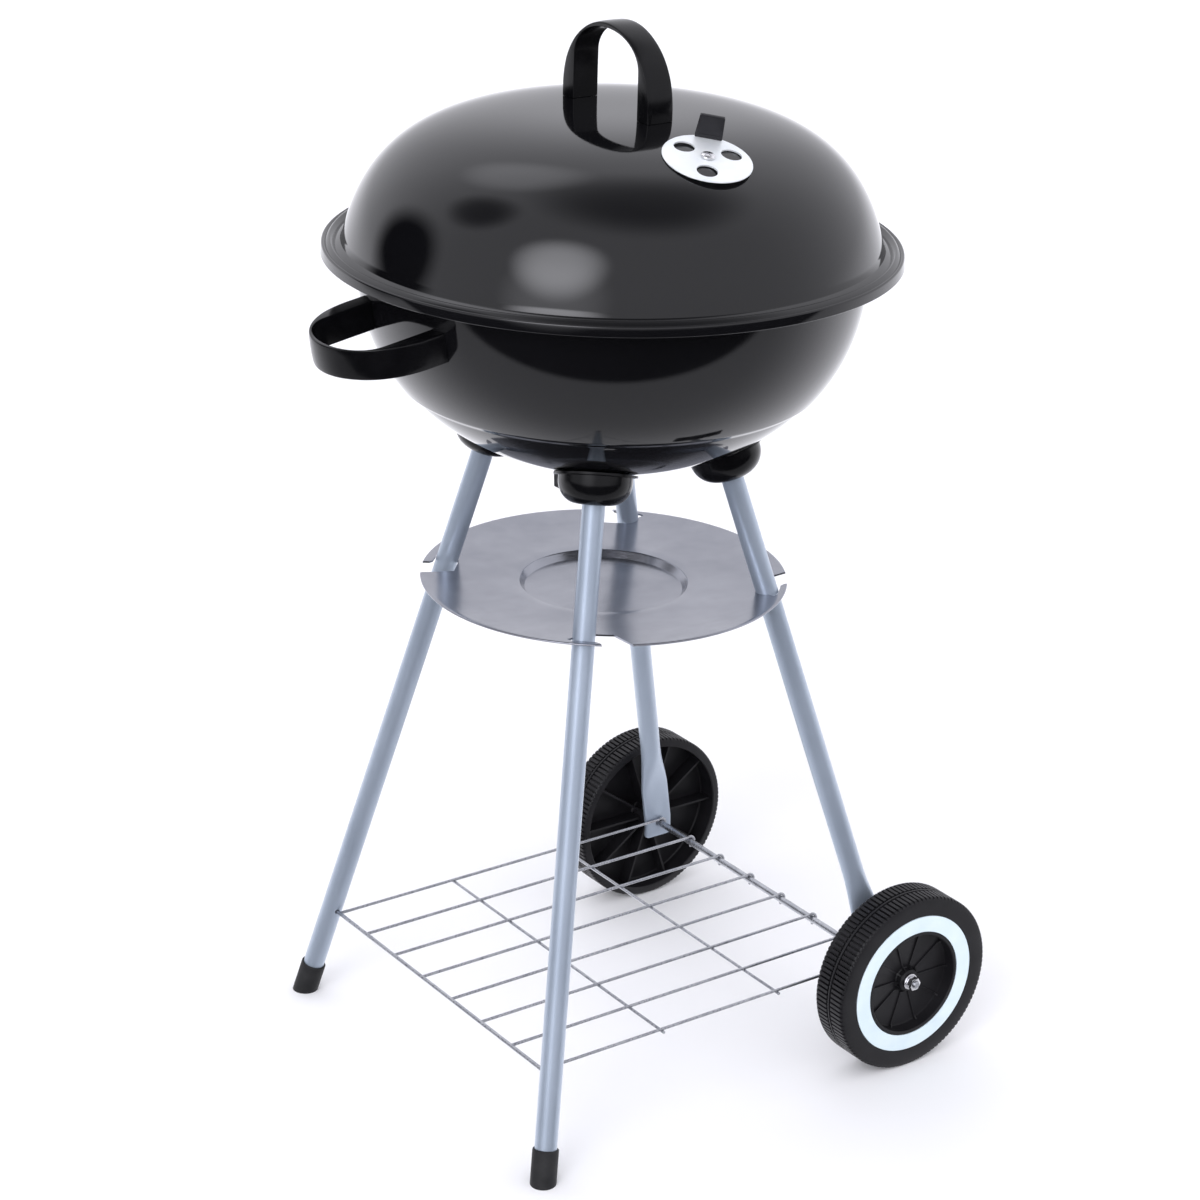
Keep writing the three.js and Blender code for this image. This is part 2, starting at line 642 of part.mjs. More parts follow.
function addKettle() {
  const lidFrame = new THREE.Matrix4().makeTranslation(0, 0, shellHeight(LID, 0, 1));
  const lidDrill = addHandle('lid_handle', lidFrame, lidEnvelope(), HANDLE_SCREW.lidSink);

  const droop = THREE.MathUtils.degToRad(SIDE_HANDLE_DROOP);
  const out = v3(-Math.cos(droop), 0, -Math.sin(droop));
  const across = v3(0, 1, 0);
  const sideZ = RIM_Z + SIDE_HANDLE_Z;
  const sideFrame = axesAt(v3(-shellRadius(BOWL, sideZ), 0, sideZ), across.clone().cross(out), across, out);
  const sideDrill = addHandle('side_handle', sideFrame, bowlEnvelope(), HANDLE_SCREW.bowlSink);

  const damperFrame = lidDamperFrame();
  const lidShell = turned(lidOutline(), ROUND)
    .subtract(lidDrill)
    .subtract(ventHoles(VENT, LID_TONGUE, damperFrame));
  add('lid_shell', lidShell, enamel);
  addLidDamper(damperFrame);

  let bowl = turned(bowlOutline(), ROUND).subtract(sideDrill);
  const floorFrame = new THREE.Matrix4().makeTranslation(0, 0, BOWL_FLOOR);
  bowl = bowl.subtract(ventHoles(BOWL_VENT, BOWL_TONGUE, floorFrame));
  for (const leg of LEGS) {
    bowl = bowl.subtract(bar(onLeg(leg, -20), onLeg(leg, 20), 3.6, SMALL));
  }
  add('bowl_shell', bowl, enamel);
  addBowlDamper();
}

// ---------------------------------------------------------------- ash catcher

// A shallow dish with a bayonet slot at each leg: a finger at the rim hooks outside the leg.
function addAshCatcher() {
  const { z, radius, recess, recessDepth, dish, sheet } = ASH;
  const floor = z - dish - recessDepth;
  const top = [
    [0, floor],
    [recess - 7, floor],
    [recess, z - dish],
    [recess + 3, z - dish],
    [radius - 39, z - dish + 0.4],
    [radius, z],
  ];
  const under = top.map(([r, height]) => [r, height - sheet]).reverse();
  let disc = turned([...top, ...under], ROUND);
  for (const leg of LEGS) {
    const at = legAtHeight(leg, z - 1);
    const angle = THREE.MathUtils.radToDeg(Math.atan2(at.y, at.x));
    const legR = Math.hypot(at.x, at.y);
    const hook = legR + TUBE_R + 1.2;
    disc = disc.subtract(sector(legR - SLOT.inner, hook, angle + SLOT.from, angle + SLOT.to));
    disc = disc.subtract(sector(legR, radius + 5, angle + SLOT.tip, angle + SLOT.to));
  }
  add('ash_catcher', disc, sheetSteel);
}

// A tall ring sector that cuts a slot concentric with the kettle.
function sector(inner, outer, from, to) {
  const [a, b] = [from, to].map(THREE.MathUtils.degToRad);
  const shape = new THREE.Shape();
  shape.absarc(0, 0, outer, a, b, false);
  shape.absarc(0, 0, inner, b, a, true);
  shape.closePath();
  const geometry = new THREE.ExtrudeGeometry(shape, { depth: 40, bevelEnabled: false, curveSegments: 3 });
  return solid(geometry.translate(0, 0, ASH.z - 20));
}

// ---------------------------------------------------------------- wire shelf

// An open hook over the axle, cut from a flat band in the XZ plane.
function axleHook(y, from, to) {
  const inner = AXLE_R + GAP;
  const outer = inner + 2 * SHELF.wire;
  const shape = new THREE.Shape();
  shape.absarc(0, 0, outer, from, to, true);
  shape.absarc(0, 0, inner, to, from, false);
  shape.closePath();
  const wide = 2 * SHELF.wire - 0.2;
  const geometry = new THREE.ExtrudeGeometry(shape, { depth: wide, bevelEnabled: false, curveSegments: 4 });
  geometry.translate(0, 0, -wide / 2).rotateX(Math.PI / 2).translate(WHEEL.x, y, WHEEL.z);
  return solid(geometry);
}

function addShelf() {
  const { z, front, half, wires, wire, crossbars } = SHELF;
  const pieces = [];
  const legY = Math.abs(legAtHeight(LEGS[0], z).y);
  const hookR = AXLE_R + GAP + wire;
  const start = Math.PI - Math.asin(Math.min(1, (z - WHEEL.z) / hookR));
  for (let i = 0; i < wires; i += 1) {
    const y = -half + (2 * half * i) / (wires - 1);
    const reach = WHEEL.x + hookR * Math.cos(start);
    pieces.push(bar(v3(front, y, z), v3(reach, y, z), wire, WIRE));
    pieces.push(axleHook(y, start + 0.25, start - 1.1 * Math.PI));
  }
  for (const x of crossbars) {
    pieces.push(bar(v3(x, -half - 2, z - 2 * wire + 0.5), v3(x, half + 2, z - 2 * wire + 0.5), wire, WIRE));
  }
  pieces.push(bar(v3(front, -legY + 3, z), v3(front, legY - 3, z), wire + 0.3, 8));
  add('wire_shelf', joined(pieces), wireSteel);
}

// ---------------------------------------------------------------- wheels

// A moulded wheel about Z, outer face at +width / 2, with the seat for the white ring.
function wheelBody() {
  const { radius, width } = WHEEL;
  const half = width / 2;
  const seat = half - RING.thickness - GAP;
  const bore = AXLE_R + GAP;
  const body = turned([
    [bore, WEB.face],
    [WEB.boss, WEB.face],
    [WEB.boss, WEB.front],
    [WEB.rim, WEB.front],
    [WEB.rim, half],
    [RING.inner - GAP, half],
    [RING.inner - GAP, seat],
    [RING.outer + GAP, seat],
    [RING.outer + GAP, half],
    [radius - 3, half],
    [radius, half - 3],
    [radius, -half + 3],
    [radius - 3, -half],
    [radius - 8, -half],
    [radius - 8, WEB.back],
    [WEB.boss, WEB.back],
    [WEB.boss, -half - 1.5],
    [bore, -half - 1.5],
  ], ROUND);
  const ribs = [];
  for (let i = 0; i < 10; i += 1) {
    const turn = new THREE.Matrix4().makeRotationZ((2 * Math.PI * i) / 10);
    ribs.push(placed(block(61, 2, 19, v3(39.5, 0, -2)), turn));
  }
  return body.add(joined(ribs));
}

function addWheels() {
  const thickness = RING.thickness;
  const half = WHEEL.width / 2;
  const disc = (inner, outer, from, to, sides = SIDES) =>
    turned([[inner, from], [outer, from], [outer, to], [inner, to]], sides);
  for (const side of [1, -1]) {
    const hand = side > 0 ? 'left' : 'right';
    const hub = v3(WHEEL.x, side * WHEEL.y, WHEEL.z);
    const frame = axesAt(hub, v3(1, 0, 0), v3(0, 0, -side), v3(0, side, 0));
    add(`wheel_${hand}`, placed(wheelBody(), frame), wheelPlastic);
    const ring = disc(RING.inner, RING.outer, half - thickness, half, ROUND);
    add(`wheel_ring_${hand}`, placed(ring, frame), whiteTrim);
    add(`inner_washer_${hand}`, placed(disc(AXLE_R + GAP, 8, -half - 3.8, -half - 1.9), frame), brightSteel);
    add(`outer_washer_${hand}`, placed(disc(AXLE_R + GAP, 7, 12.3, 13.5), frame), brightSteel);
    const nutAt = new THREE.Matrix4().makeTranslation(0, 0, 16.6);
    add(`wheel_nut_${hand}`, placed(placed(nut(10, 5.6, AXLE_R + GAP), nutAt), frame), brightSteel);
  }
  const axle = bar(v3(WHEEL.x, -AXLE_HALF, WHEEL.z), v3(WHEEL.x, AXLE_HALF, WHEEL.z), AXLE_R);
  add('axle', axle, wireSteel);
}

// ---------------------------------------------------------------- the grill

addKettle();
addGrates();
addStand();
addAshCatcher();
addShelf();
addWheels();

const box = new THREE.Box3().setFromObject(grill);
grill.position.x = -(box.min.x + box.max.x) / 2;

export default grill;
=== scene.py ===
"""Kettle charcoal grill: fine meshes, materials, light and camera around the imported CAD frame.

Shapes are worked out in millimetres round the kettle's vertical axis, with the floor at z = 0,
and turned into metres in the frame's own axes when a piece is made.
"""

import json
import math

import bmesh
import bpy
import numpy as np
from mathutils import Matrix, Vector


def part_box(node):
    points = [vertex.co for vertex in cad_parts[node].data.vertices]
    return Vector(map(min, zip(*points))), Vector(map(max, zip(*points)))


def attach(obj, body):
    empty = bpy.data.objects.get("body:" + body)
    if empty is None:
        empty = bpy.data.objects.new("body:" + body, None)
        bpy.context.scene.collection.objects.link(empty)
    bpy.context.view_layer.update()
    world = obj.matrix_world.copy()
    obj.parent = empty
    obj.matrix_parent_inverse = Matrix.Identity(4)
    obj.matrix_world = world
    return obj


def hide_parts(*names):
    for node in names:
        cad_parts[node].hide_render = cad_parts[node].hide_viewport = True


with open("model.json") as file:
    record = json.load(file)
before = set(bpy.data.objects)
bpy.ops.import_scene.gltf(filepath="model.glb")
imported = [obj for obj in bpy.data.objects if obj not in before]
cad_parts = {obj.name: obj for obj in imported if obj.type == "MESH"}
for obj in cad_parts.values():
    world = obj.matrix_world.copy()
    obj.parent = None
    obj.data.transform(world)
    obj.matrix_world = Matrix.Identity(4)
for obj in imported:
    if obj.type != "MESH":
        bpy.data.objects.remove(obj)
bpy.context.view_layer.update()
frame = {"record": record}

# ---------------- the frame, in millimetres

MM = 0.001
BODY_OF = {n: body for body, nodes in frame["record"]["behaviour"]["bodies"].items() for n in nodes}


def node_box(node):
    """Lowest and highest corner of a CAD node, in millimetres round the kettle's axis."""
    lo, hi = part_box(node)
    shift = Vector((AXIS_X, 0, 0))
    return lo / MM - shift, hi / MM - shift


AXIS_X = (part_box("lid_shell")[0].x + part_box("lid_shell")[1].x) / 2 / MM
LID_LO, LID_HI = node_box("lid_shell")
BOWL_LO, BOWL_HI = node_box("bowl_shell")
WHEEL_LO, WHEEL_HI = node_box("wheel_left")
AXLE_LO, AXLE_HI = node_box("axle")
ASH_HI = node_box("ash_catcher")[1]
HANDLE_HI = node_box("lid_handle")[1]

# ---------------- driving sizes, in millimetres

GAP = 0.3
SHEET = 1.5
RIM_Z = LID_LO.z
RIM_R = LID_HI.y
CROWN_Z = LID_HI.z
LEDGE_Z = RIM_Z + 9
LEDGE_R = RIM_R - 14.5
LID = {"radius": 218, "height": 220, "centre": CROWN_Z - 220, "power": 3.5, "foot": 28.8}
BOWL = {"radius": 200, "height": 168, "centre": RIM_Z, "power": 2.24}
STEP = {"z": RIM_Z - 101, "depth": 2.5, "height": 5}
FLANGE_R = BOWL_HI.y
BOWL_FLAT_R = 52
BOWL_FLOOR = BOWL_LO.z

HANDLE = {"half": 57, "width": 24, "spring": 8, "rise": HANDLE_HI.z - CROWN_Z, "leg": 16, "root": -20,
          "grip_spring": 37, "top": 5}
SIDE_HANDLE_Z = RIM_Z - 34.5
SIDE_HANDLE_DROOP = math.radians(9)
HANDLE_SCREW = {"y": 49, "depth": 26, "lid_sink": 4, "bowl_sink": 12.8, "head": 5, "head_h": 2.2}

LID_DAMPER = {"x": -9, "y": -128, "radius": 34.3, "sag": 1.3, "lift": 0.4, "tongue": 54}
BOWL_DAMPER = {"radius": 46, "sag": 0, "drop": 1.6, "tongue": 180}
LID_VENT = {"count": 3, "radius": 8, "pitch": 20.5}
BOWL_VENT = {"count": 3, "radius": 10, "pitch": 28}
DAMPER_T = 1.2
TONGUE = {"half": 7, "height": 8.7, "inset": 3}
LID_GRIP_H, BOWL_GRIP_H = 19, 24

SCREW_R, SCREW_HOLE_R = 2.2, 2.6
BOLT_R, BOLT_HOLE_R = 3, 3.6
DAMPER_SCREW = {"head_r": 5.5, "head_h": 2.6, "shank_r": SCREW_R, "length": 11}
LEG_BOLT = {"head_r": 6, "head_h": 3.5, "shank_r": BOLT_R, "length": 22}
DAMPER_NUT = {"flats": 8, "height": 3.2, "bore": 2.5}
WHEEL_NUT_FLATS, WHEEL_NUT_H = 10, 5.6
THROUGH = 25             # how far a drill reaches past a shell, each way

COOKING = {"z": RIM_Z - 18.7, "radius": 190.5, "wire": 2.5, "bars": 17}
CHARCOAL = {"z": RIM_Z - 97.2, "radius": 161.5, "wire": 2.5, "bars": 11}
BAR_R = 2
GRATE_HANDLE = {"inset": 16, "lean": 3, "narrowing": 0.94, "rise": 28, "bend": 12}
SUPPORT = {"outer": 196.1, "inner": 184.1, "rise": 11.5, "thick": 1.5, "half": 8}

TUBE_R = 9
TUBE_WALL = 1.5
LEG_TOP = Vector((70, 80, 500))
FOOT = Vector((-176, 185, 0))
CUP = {"flange": 33, "flange_t": 1.6, "lip": 1.8, "body": 29, "tip": 13.4, "mouth": 11.2,
       "shoulder": 2.5, "depth": 20.5, "inside": 12}
LEG_INSET = 7
INSERT_L = 18
CAP_R = 10.6
CAP_H = 19
TUBE_END_Z = 8.5         # the front tubes' ends, inside their caps
BLADE = {"half": 14, "thin": 2.2, "below": 14, "start": 95, "end": 38}

WHEEL_R = (WHEEL_HI.z - WHEEL_LO.z) / 2
WHEEL_HALF = 17.5
AXLE = Vector(((AXLE_LO.x + AXLE_HI.x) / 2, 0, (AXLE_LO.z + AXLE_HI.z) / 2))
WHEEL_Y = WHEEL_HI.y - WHEEL_HALF
RING_IN, RING_OUT = 47.3, 61.4
AXLE_R = 3
BLADE_Y = 160

# ---------------- mesh helpers

ROUND = 192          # sides of the large turned shapes
FINE = 48            # sides of tubes and small turned shapes
WIRE_SIDES = 20
DRILL = 24               # sides of drilled holes
UP = Vector((0, 0, 1))
TINY = 1e-6


class Solid:
    """Points in millimetres round the kettle's axis, and the faces between them."""

    def __init__(self, points, faces):
        self.points = np.asarray(points, float).reshape(-1, 3)
        self.faces = [tuple(face) for face in faces]

    def moved(self, matrix):
        m = np.array(matrix)
        return Solid(self.points @ m[:3, :3].T + m[:3, 3], self.faces)

    def __add__(self, other):
        count = len(self.points)
        shifted = [tuple(i + count for i in face) for face in other.faces]
        return Solid(np.vstack([self.points, other.points]), self.faces + shifted)

    def mesh(self, name):
        data = bpy.data.meshes.new(name)
        data.from_pydata((self.points * MM).tolist(), [], self.faces)
        work = bmesh.new()
        work.from_mesh(data)
        bmesh.ops.remove_doubles(work, verts=work.verts, dist=TINY)
        bmesh.ops.recalc_face_normals(work, faces=work.faces)
        work.to_mesh(data)
        work.free()
        return data


def evaluated(obj):
    """The mesh that an object's modifiers give."""
    graph = bpy.context.evaluated_depsgraph_get()
    return bpy.data.meshes.new_from_object(obj.evaluated_get(graph))


def carve(solid, cuts=(), keep=(), add=()):
    """A solid with others joined to it, then only its part inside others kept, then others cut away."""
    obj = bpy.data.objects.new("carved", solid.mesh("carved"))
    bpy.context.scene.collection.objects.link(obj)
    tools = []
    for operation, shapes in (("UNION", add), ("INTERSECT", keep), ("DIFFERENCE", cuts)):
        for shape in shapes:
            tool = bpy.data.objects.new("tool", shape.mesh("tool"))
            bpy.context.scene.collection.objects.link(tool)
            modifier = obj.modifiers.new(operation, "BOOLEAN")
            modifier.operation = operation
            modifier.solver = "EXACT"
            modifier.object = tool
            tools.append(tool)
    data = evaluated(obj)
    points = np.array([v.co for v in data.vertices], float) / MM
    faces = [tuple(p.vertices) for p in data.polygons]
    for done in [obj, *tools]:
        bpy.data.objects.remove(done)
    return Solid(points, faces)


def turned(outline, sides=FINE):
    """A solid of revolution about Z from a closed outline of (radius, height) points."""
    angles = np.linspace(0, 2 * math.pi, sides, endpoint=False)
    points, rings = [], []
    for radius, height in outline:
        start = len(points)
        if radius < TINY:
            points.append((0, 0, height))
            rings.append([start])
        else:
            points += [(radius * math.cos(a), radius * math.sin(a), height) for a in angles]
            rings.append(list(range(start, start + sides)))
    pairs = list(zip(rings, rings[1:]))
    if len(rings[0]) > 1:
        pairs.append((rings[-1], rings[0]))
    faces = []
    for low, high in pairs:
        for i in range(sides):
            j = (i + 1) % sides
            corners = [low[i % len(low)], low[j % len(low)], high[j % len(high)], high[i % len(high)]]
            face = list(dict.fromkeys(corners))
            if len(face) > 2:
                faces.append(face)
    return Solid(points, faces)


def lofted(rings, closed=False):
    """A solid through rings of equal point count, with flat ends unless it closes on itself."""
    count, total = len(rings[0]), len(rings)
    points = np.vstack([np.asarray(ring, float) for ring in rings])
    faces = []
    for r in range(total if closed else total - 1):
        a, b = r * count, ((r + 1) % total) * count
        for i in range(count):
            j = (i + 1) % count
            faces.append((a + i, a + j, b + j, b + i))
    if not closed:
        faces.append(tuple(range(count)))
        faces.append(tuple(range((total - 1) * count, total * count)))
    return Solid(points, faces)


def matrix_at(point, x_axis, y_axis, z_axis):
    m = Matrix.Identity(4)
    for column, axis in enumerate((x_axis, y_axis, z_axis, point)):
        for row in range(3):
            m[row][column] = axis[row]
    return m


def along(point, direction):
    """A matrix that lays Z along a direction from a point."""
    turn = UP.rotation_difference(Vector(direction).normalized())
    return Matrix.Translation(Vector(point)) @ turn.to_matrix().to_4x4()


def rod(start, end, radius, sides=FINE, bevel=0.0):
    """A round bar between two points, with softened ends."""
    start, end = Vector(start), Vector(end)
    length = (end - start).length
    outline = [(0, 0), (radius - bevel, 0), (radius, bevel), (radius, length - bevel),
               (radius - bevel, length), (0, length)]
    if bevel == 0:
        outline = [(0, 0), (radius, 0), (radius, length), (0, length)]
    return turned(outline, sides).moved(along(start, end - start))


def tube(path, radius, sides=WIRE_SIDES, closed=False):
    """A round wire along a list of points, with domed ends."""
    path = [Vector(p) for p in path]
    total = len(path)
    tangents = []
    for i in range(total):
        before = path[i - 1] if closed or i else path[0]
        after = path[(i + 1) % total] if closed or i + 1 < total else path[-1]
        tangents.append((after - before).normalized())
    side = tangents[0].orthogonal().normalized()
    rings = []
    for i, (point, tangent) in enumerate(zip(path, tangents)):
        side = (side - tangent * side.dot(tangent)).normalized()
        other = tangent.cross(side)
        scales = [(0, 1)]
        if not closed and i == 0:
            scales = [(-radius * s, math.sqrt(1 - s * s)) for s in (0.97, 0.8, 0.4, 0)]
        if not closed and i == total - 1:
            scales = [(radius * s, math.sqrt(1 - s * s)) for s in (0, 0.4, 0.8, 0.97)]
        for shift, size in scales:
            centre = point + tangent * shift
            rings.append([centre + (side * math.cos(a) + other * math.sin(a)) * radius * size
                          for a in np.linspace(0, 2 * math.pi, sides, endpoint=False)])
    return lofted(rings, closed)


def filleted(points, radius, steps=6, closed=False):
    """A polyline with its corners rounded; radius may be one number or one for each point."""
    radii = radius if hasattr(radius, "__len__") else [radius] * len(points)
    total = len(points)
    result = []
    for i, point in enumerate(points):
        corner = Vector(point)
        ends = not closed and i in (0, total - 1)
        if ends or radii[i] <= 0:
            result.append(tuple(corner))
            continue
        back = Vector(points[i - 1]) - corner
        ahead = Vector(points[(i + 1) % total]) - corner
        half = back.angle(ahead) / 2
        if half > math.pi / 2 - 0.01:
            result.append(tuple(corner))
            continue
        reach = min(radii[i] / math.tan(half), 0.49 * back.length, 0.49 * ahead.length)
        size = reach * math.tan(half)
        a, b = corner + back.normalized() * reach, corner + ahead.normalized() * reach
        centre = corner + (back.normalized() + ahead.normalized()).normalized() * size / math.sin(half)
        for s in range(steps + 1):
            blend = (a - centre).slerp(b - centre, s / steps)
            result.append(tuple(centre + blend))
    return result


def plate(outline, low, high, bevel=0.0):
    """A flat closed solid over a 2-D outline, its edges softened by one rounded step."""
    ring = [Vector(p) for p in outline]
    levels = [(low, 0), (high, 0)]
    if bevel:
        levels = [(low, bevel), (low + 0.3 * bevel, 0.3 * bevel), (low + bevel, 0),
                  (high - bevel, 0), (high - 0.3 * bevel, 0.3 * bevel), (high, bevel)]
    total = len(ring)
    inward = []
    area = sum(ring[i].cross(ring[(i + 1) % total]) for i in range(total))
    sign = 1 if area > 0 else -1
    for i in range(total):
        edge = (ring[(i + 1) % total] - ring[i - 1]).normalized()
        inward.append(Vector((-edge.y, edge.x)) * sign)
    rings = [[(p.x + n.x * inset, p.y + n.y * inset, level) for p, n in zip(ring, inward)]
             for level, inset in levels]
    return lofted(rings)


def joined(solids):
    total = solids[0]
    for solid in solids[1:]:
        total = total + solid
    return total


def sheet_outline(line, thickness):
    """The closed outline of a bent sheet from its middle line, which starts on the axis."""
    line = np.asarray(line, float)
    step = np.gradient(line, axis=0)
    normal = np.stack([-step[:, 1], step[:, 0]], 1)
    normal /= np.linalg.norm(normal, axis=1)[:, None]
    normal[0] = (0, math.copysign(1, normal[0, 1]))
    outer = line + normal * thickness / 2
    inner = line - normal * thickness / 2
    ahead = step[-1] / np.linalg.norm(step[-1])
    cap = [line[-1] + thickness / 2 * (normal[-1] * math.cos(a) + ahead * math.sin(a))
           for a in np.linspace(0, math.pi, 9)[1:-1]]
    return [tuple(p) for p in [*outer, *cap, *inner[::-1]]]


def polar(radius, degrees, z=0.0):
    a = math.radians(degrees)
    return Vector((radius * math.cos(a), radius * math.sin(a), z))


# ---------------- making pieces

SHARP = math.radians(38)


def piece(node, solid, finished):
    """The fine piece that stands for a CAD node and moves with its body."""
    name = f"{node}_fine"
    material, slot = finished
    shift = Matrix.Translation((AXIS_X, 0, 0))
    obj = bpy.data.objects.new(name, solid.moved(shift).mesh(name))
    bpy.context.scene.collection.objects.link(obj)
    obj.data.shade_smooth()
    obj.data.set_sharp_from_angle(angle=SHARP)
    obj.data.materials.append(material)
    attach(obj, BODY_OF[node])
    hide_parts(node)


# ---------------- materials


class Look:
    """A procedural material round one Principled shader, in object coordinates (metres).

    A grain is a noise texture given as its scale and detail, then if need be its roughness, its
    distortion and its stretch along X, Y and Z.
    """

    def __init__(self, name):
        self.material = bpy.data.materials.new(name)
        self.material.use_nodes = True
        self.tree = self.material.node_tree
        self.shader = self.tree.nodes["Principled BSDF"]
        self.coords = self.tree.nodes.new("ShaderNodeTexCoord").outputs["Object"]
        self.grains = {}

    def node(self, kind, **inputs):
        made = self.tree.nodes.new(kind)
        for key, value in inputs.items():
            if isinstance(value, bpy.types.NodeSocket):
                self.tree.links.new(value, made.inputs[key])
            else:
                made.inputs[key].default_value = value
        return made

    def noise(self, grain):
        if grain not in self.grains:
            scale, detail, roughness, distortion, stretch = (*grain, *(0.5, 0.0, None)[len(grain) - 2:])
            coords = self.coords
            if stretch:
                coords = self.node("ShaderNodeMapping", Vector=coords, Scale=stretch).outputs["Vector"]
            made = self.node("ShaderNodeTexNoise", Vector=coords, Scale=scale, Detail=detail,
                             Roughness=roughness, Distortion=distortion)
            self.grains[grain] = made.outputs["Fac"]
        return self.grains[grain]

    def ramp(self, value, stops):
        """Colours along a value; each stop is (position, colour)."""
        made = self.node("ShaderNodeValToRGB", Fac=value)
        for element, (position, color) in zip(made.color_ramp.elements, stops):
            element.position = position
            element.color = (*color, 1)
        return made.outputs["Color"]

    def range(self, value, low, high, start=0.3, end=0.7):
        made = self.node("ShaderNodeMapRange", **{"Value": value, "From Min": start, "From Max": end,
                                                  "To Min": low, "To Max": high})
        return made.outputs["Result"]

    def speckled(self, color, grain, fleck):
        """A colour with a share of another one in its brightest grain."""
        made = self.tree.nodes.new("ShaderNodeMix")
        made.data_type = "RGBA"
        factor, first, second = made.inputs[0], made.inputs[6], made.inputs[7]
        self.tree.links.new(self.range(self.noise(grain), 0.0, 0.3, 0.45, 0.75), factor)
        self.tree.links.new(color, first)
        second.default_value = (*fleck, 1)
        return made.outputs[2]

    def feed(self, socket, value):
        if isinstance(value, bpy.types.NodeSocket):
            self.tree.links.new(value, self.shader.inputs[socket])
        else:
            self.shader.inputs[socket].default_value = value

    def bumps(self, layers):
        """Height layers, each (grain, distance in metres, strength), one over the other."""
        normal = None
        for grain, distance, strength in layers:
            made = self.node("ShaderNodeBump", Height=self.noise(grain), Distance=distance,
                             Strength=strength)
            if normal is not None:
                self.tree.links.new(normal, made.inputs["Normal"])
            normal = made.outputs["Normal"]
        self.feed("Normal", normal)


def finish(name, slot, tint, gloss=None, relief=(), flecks=None, **sockets):
    """A material and its slot.

    The tint is a grain and two stops, the gloss a grain and the least and greatest roughness, the
    relief a list of height layers, and the flecks a grain and their colour.
    """
    look = Look(name)
    for socket, value in sockets.items():
        look.feed(socket.replace("_", " "), value)
    color = look.ramp(look.noise(tint[0]), tint[1:])
    look.feed("Base Color", look.speckled(color, *flecks) if flecks else color)
    if gloss:
        look.feed("Roughness", look.range(look.noise(gloss[0]), *gloss[1:]))
    if relief:
        look.bumps(relief)
    return look.material, slot


ENAMEL = finish(
    "gloss_black_enamel", "enamel", IOR=1.5,
    tint=((5, 2), (0.35, (0.0028, 0.0028, 0.0034)), (0.7, (0.0046, 0.0046, 0.0054))),
    gloss=((14, 4, 0.6), 0.045, 0.085),
    relief=[((5, 2), 0.0012, 0.2), ((420, 2), 0.00003, 0.2), ((2600, 3, 0.7), 0.00001, 0.2)])
BLACK = finish(
    "gloss_black_thermoset", "black_plastic", IOR=1.4, Specular_IOR_Level=0.33,
    tint=((38, 3, 0.55, 0.6), (0.3, (0.0022, 0.0022, 0.0027)), (0.75, (0.0044, 0.0044, 0.0052))),
    gloss=((160, 3), 0.12, 0.22),
    relief=[((38, 3, 0.55, 0.6), 0.0003, 0.2), ((1500, 2), 0.00002, 0.3)])
GRIP = finish(
    "satin_black_grip", "black_plastic", Specular_IOR_Level=0.3,
    tint=((120, 2), (0.3, (0.01, 0.0095, 0.012)), (0.7, (0.015, 0.0145, 0.017))),
    gloss=((1900, 3, 0.6), 0.36, 0.5), relief=[((1900, 3, 0.6), 0.00004, 0.5)])
PAINT = finish(
    "silver_leg_paint", "leg_paint", Metallic=0.55, Coat_Weight=0.15, Coat_Roughness=0.2,
    tint=((26, 3, 0.55, 0.0, (1, 1, 0.35)), (0.3, (0.32, 0.375, 0.455)), (0.72, (0.38, 0.44, 0.525))),
    flecks=((5200, 2, 0.6), (0.54, 0.6, 0.68)), gloss=((300, 3), 0.3, 0.42),
    relief=[((900, 3, 0.6), 0.00004, 0.35), ((26, 3, 0.55, 0.0, (1, 1, 0.35)), 0.0002, 0.15)])
ZINC = finish(
    "satin_zinc_sheet", "galvanised_sheet", Metallic=0.92,
    tint=((18, 3, 0.6), (0.3, (0.29, 0.3, 0.34)), (0.7, (0.37, 0.38, 0.42))),
    gloss=((900, 3, 0.6, 0.0, (0.03, 1, 1)), 0.17, 0.27),
    relief=[((900, 3, 0.6, 0.0, (0.03, 1, 1)), 0.00003, 0.3), ((18, 3, 0.6), 0.0008, 0.12)])
DAMPER = finish(
    "bright_rolled_damper", "damper_metal", Metallic=0.45,
    tint=((60, 3), (0.3, (0.78, 0.82, 0.845)), (0.7, (0.87, 0.89, 0.9))),
    gloss=((1600, 3, 0.6, 0.0, (1, 0.04, 1)), 0.36, 0.5),
    relief=[((1600, 3, 0.6, 0.0, (1, 0.04, 1)), 0.00003, 0.35)])
PLATED = finish(
    "bright_plated_steel", "screw_steel", Metallic=1.0,
    tint=((700, 4, 0.65), (0.35, (0.62, 0.62, 0.64)), (0.65, (0.84, 0.84, 0.86))),
    gloss=((700, 4, 0.65), 0.1, 0.24), relief=[((2400, 2), 0.00002, 0.3)])
WIRE = finish(
    "zinc_plated_wire", "wire_steel", Metallic=0.95,
    tint=((90, 3, 0.6), (0.3, (0.35, 0.36, 0.39)), (0.7, (0.5, 0.51, 0.54))),
    gloss=((600, 3), 0.22, 0.36), relief=[((1300, 3, 0.6), 0.00003, 0.4)])
CHROME = finish(
    "chrome_plated_grate", "grate_chrome", Metallic=1.0,
    tint=((70, 3, 0.6), (0.3, (0.58, 0.59, 0.61)), (0.7, (0.72, 0.73, 0.75))),
    gloss=((70, 3, 0.6), 0.09, 0.2), relief=[((1100, 2), 0.00002, 0.3)])
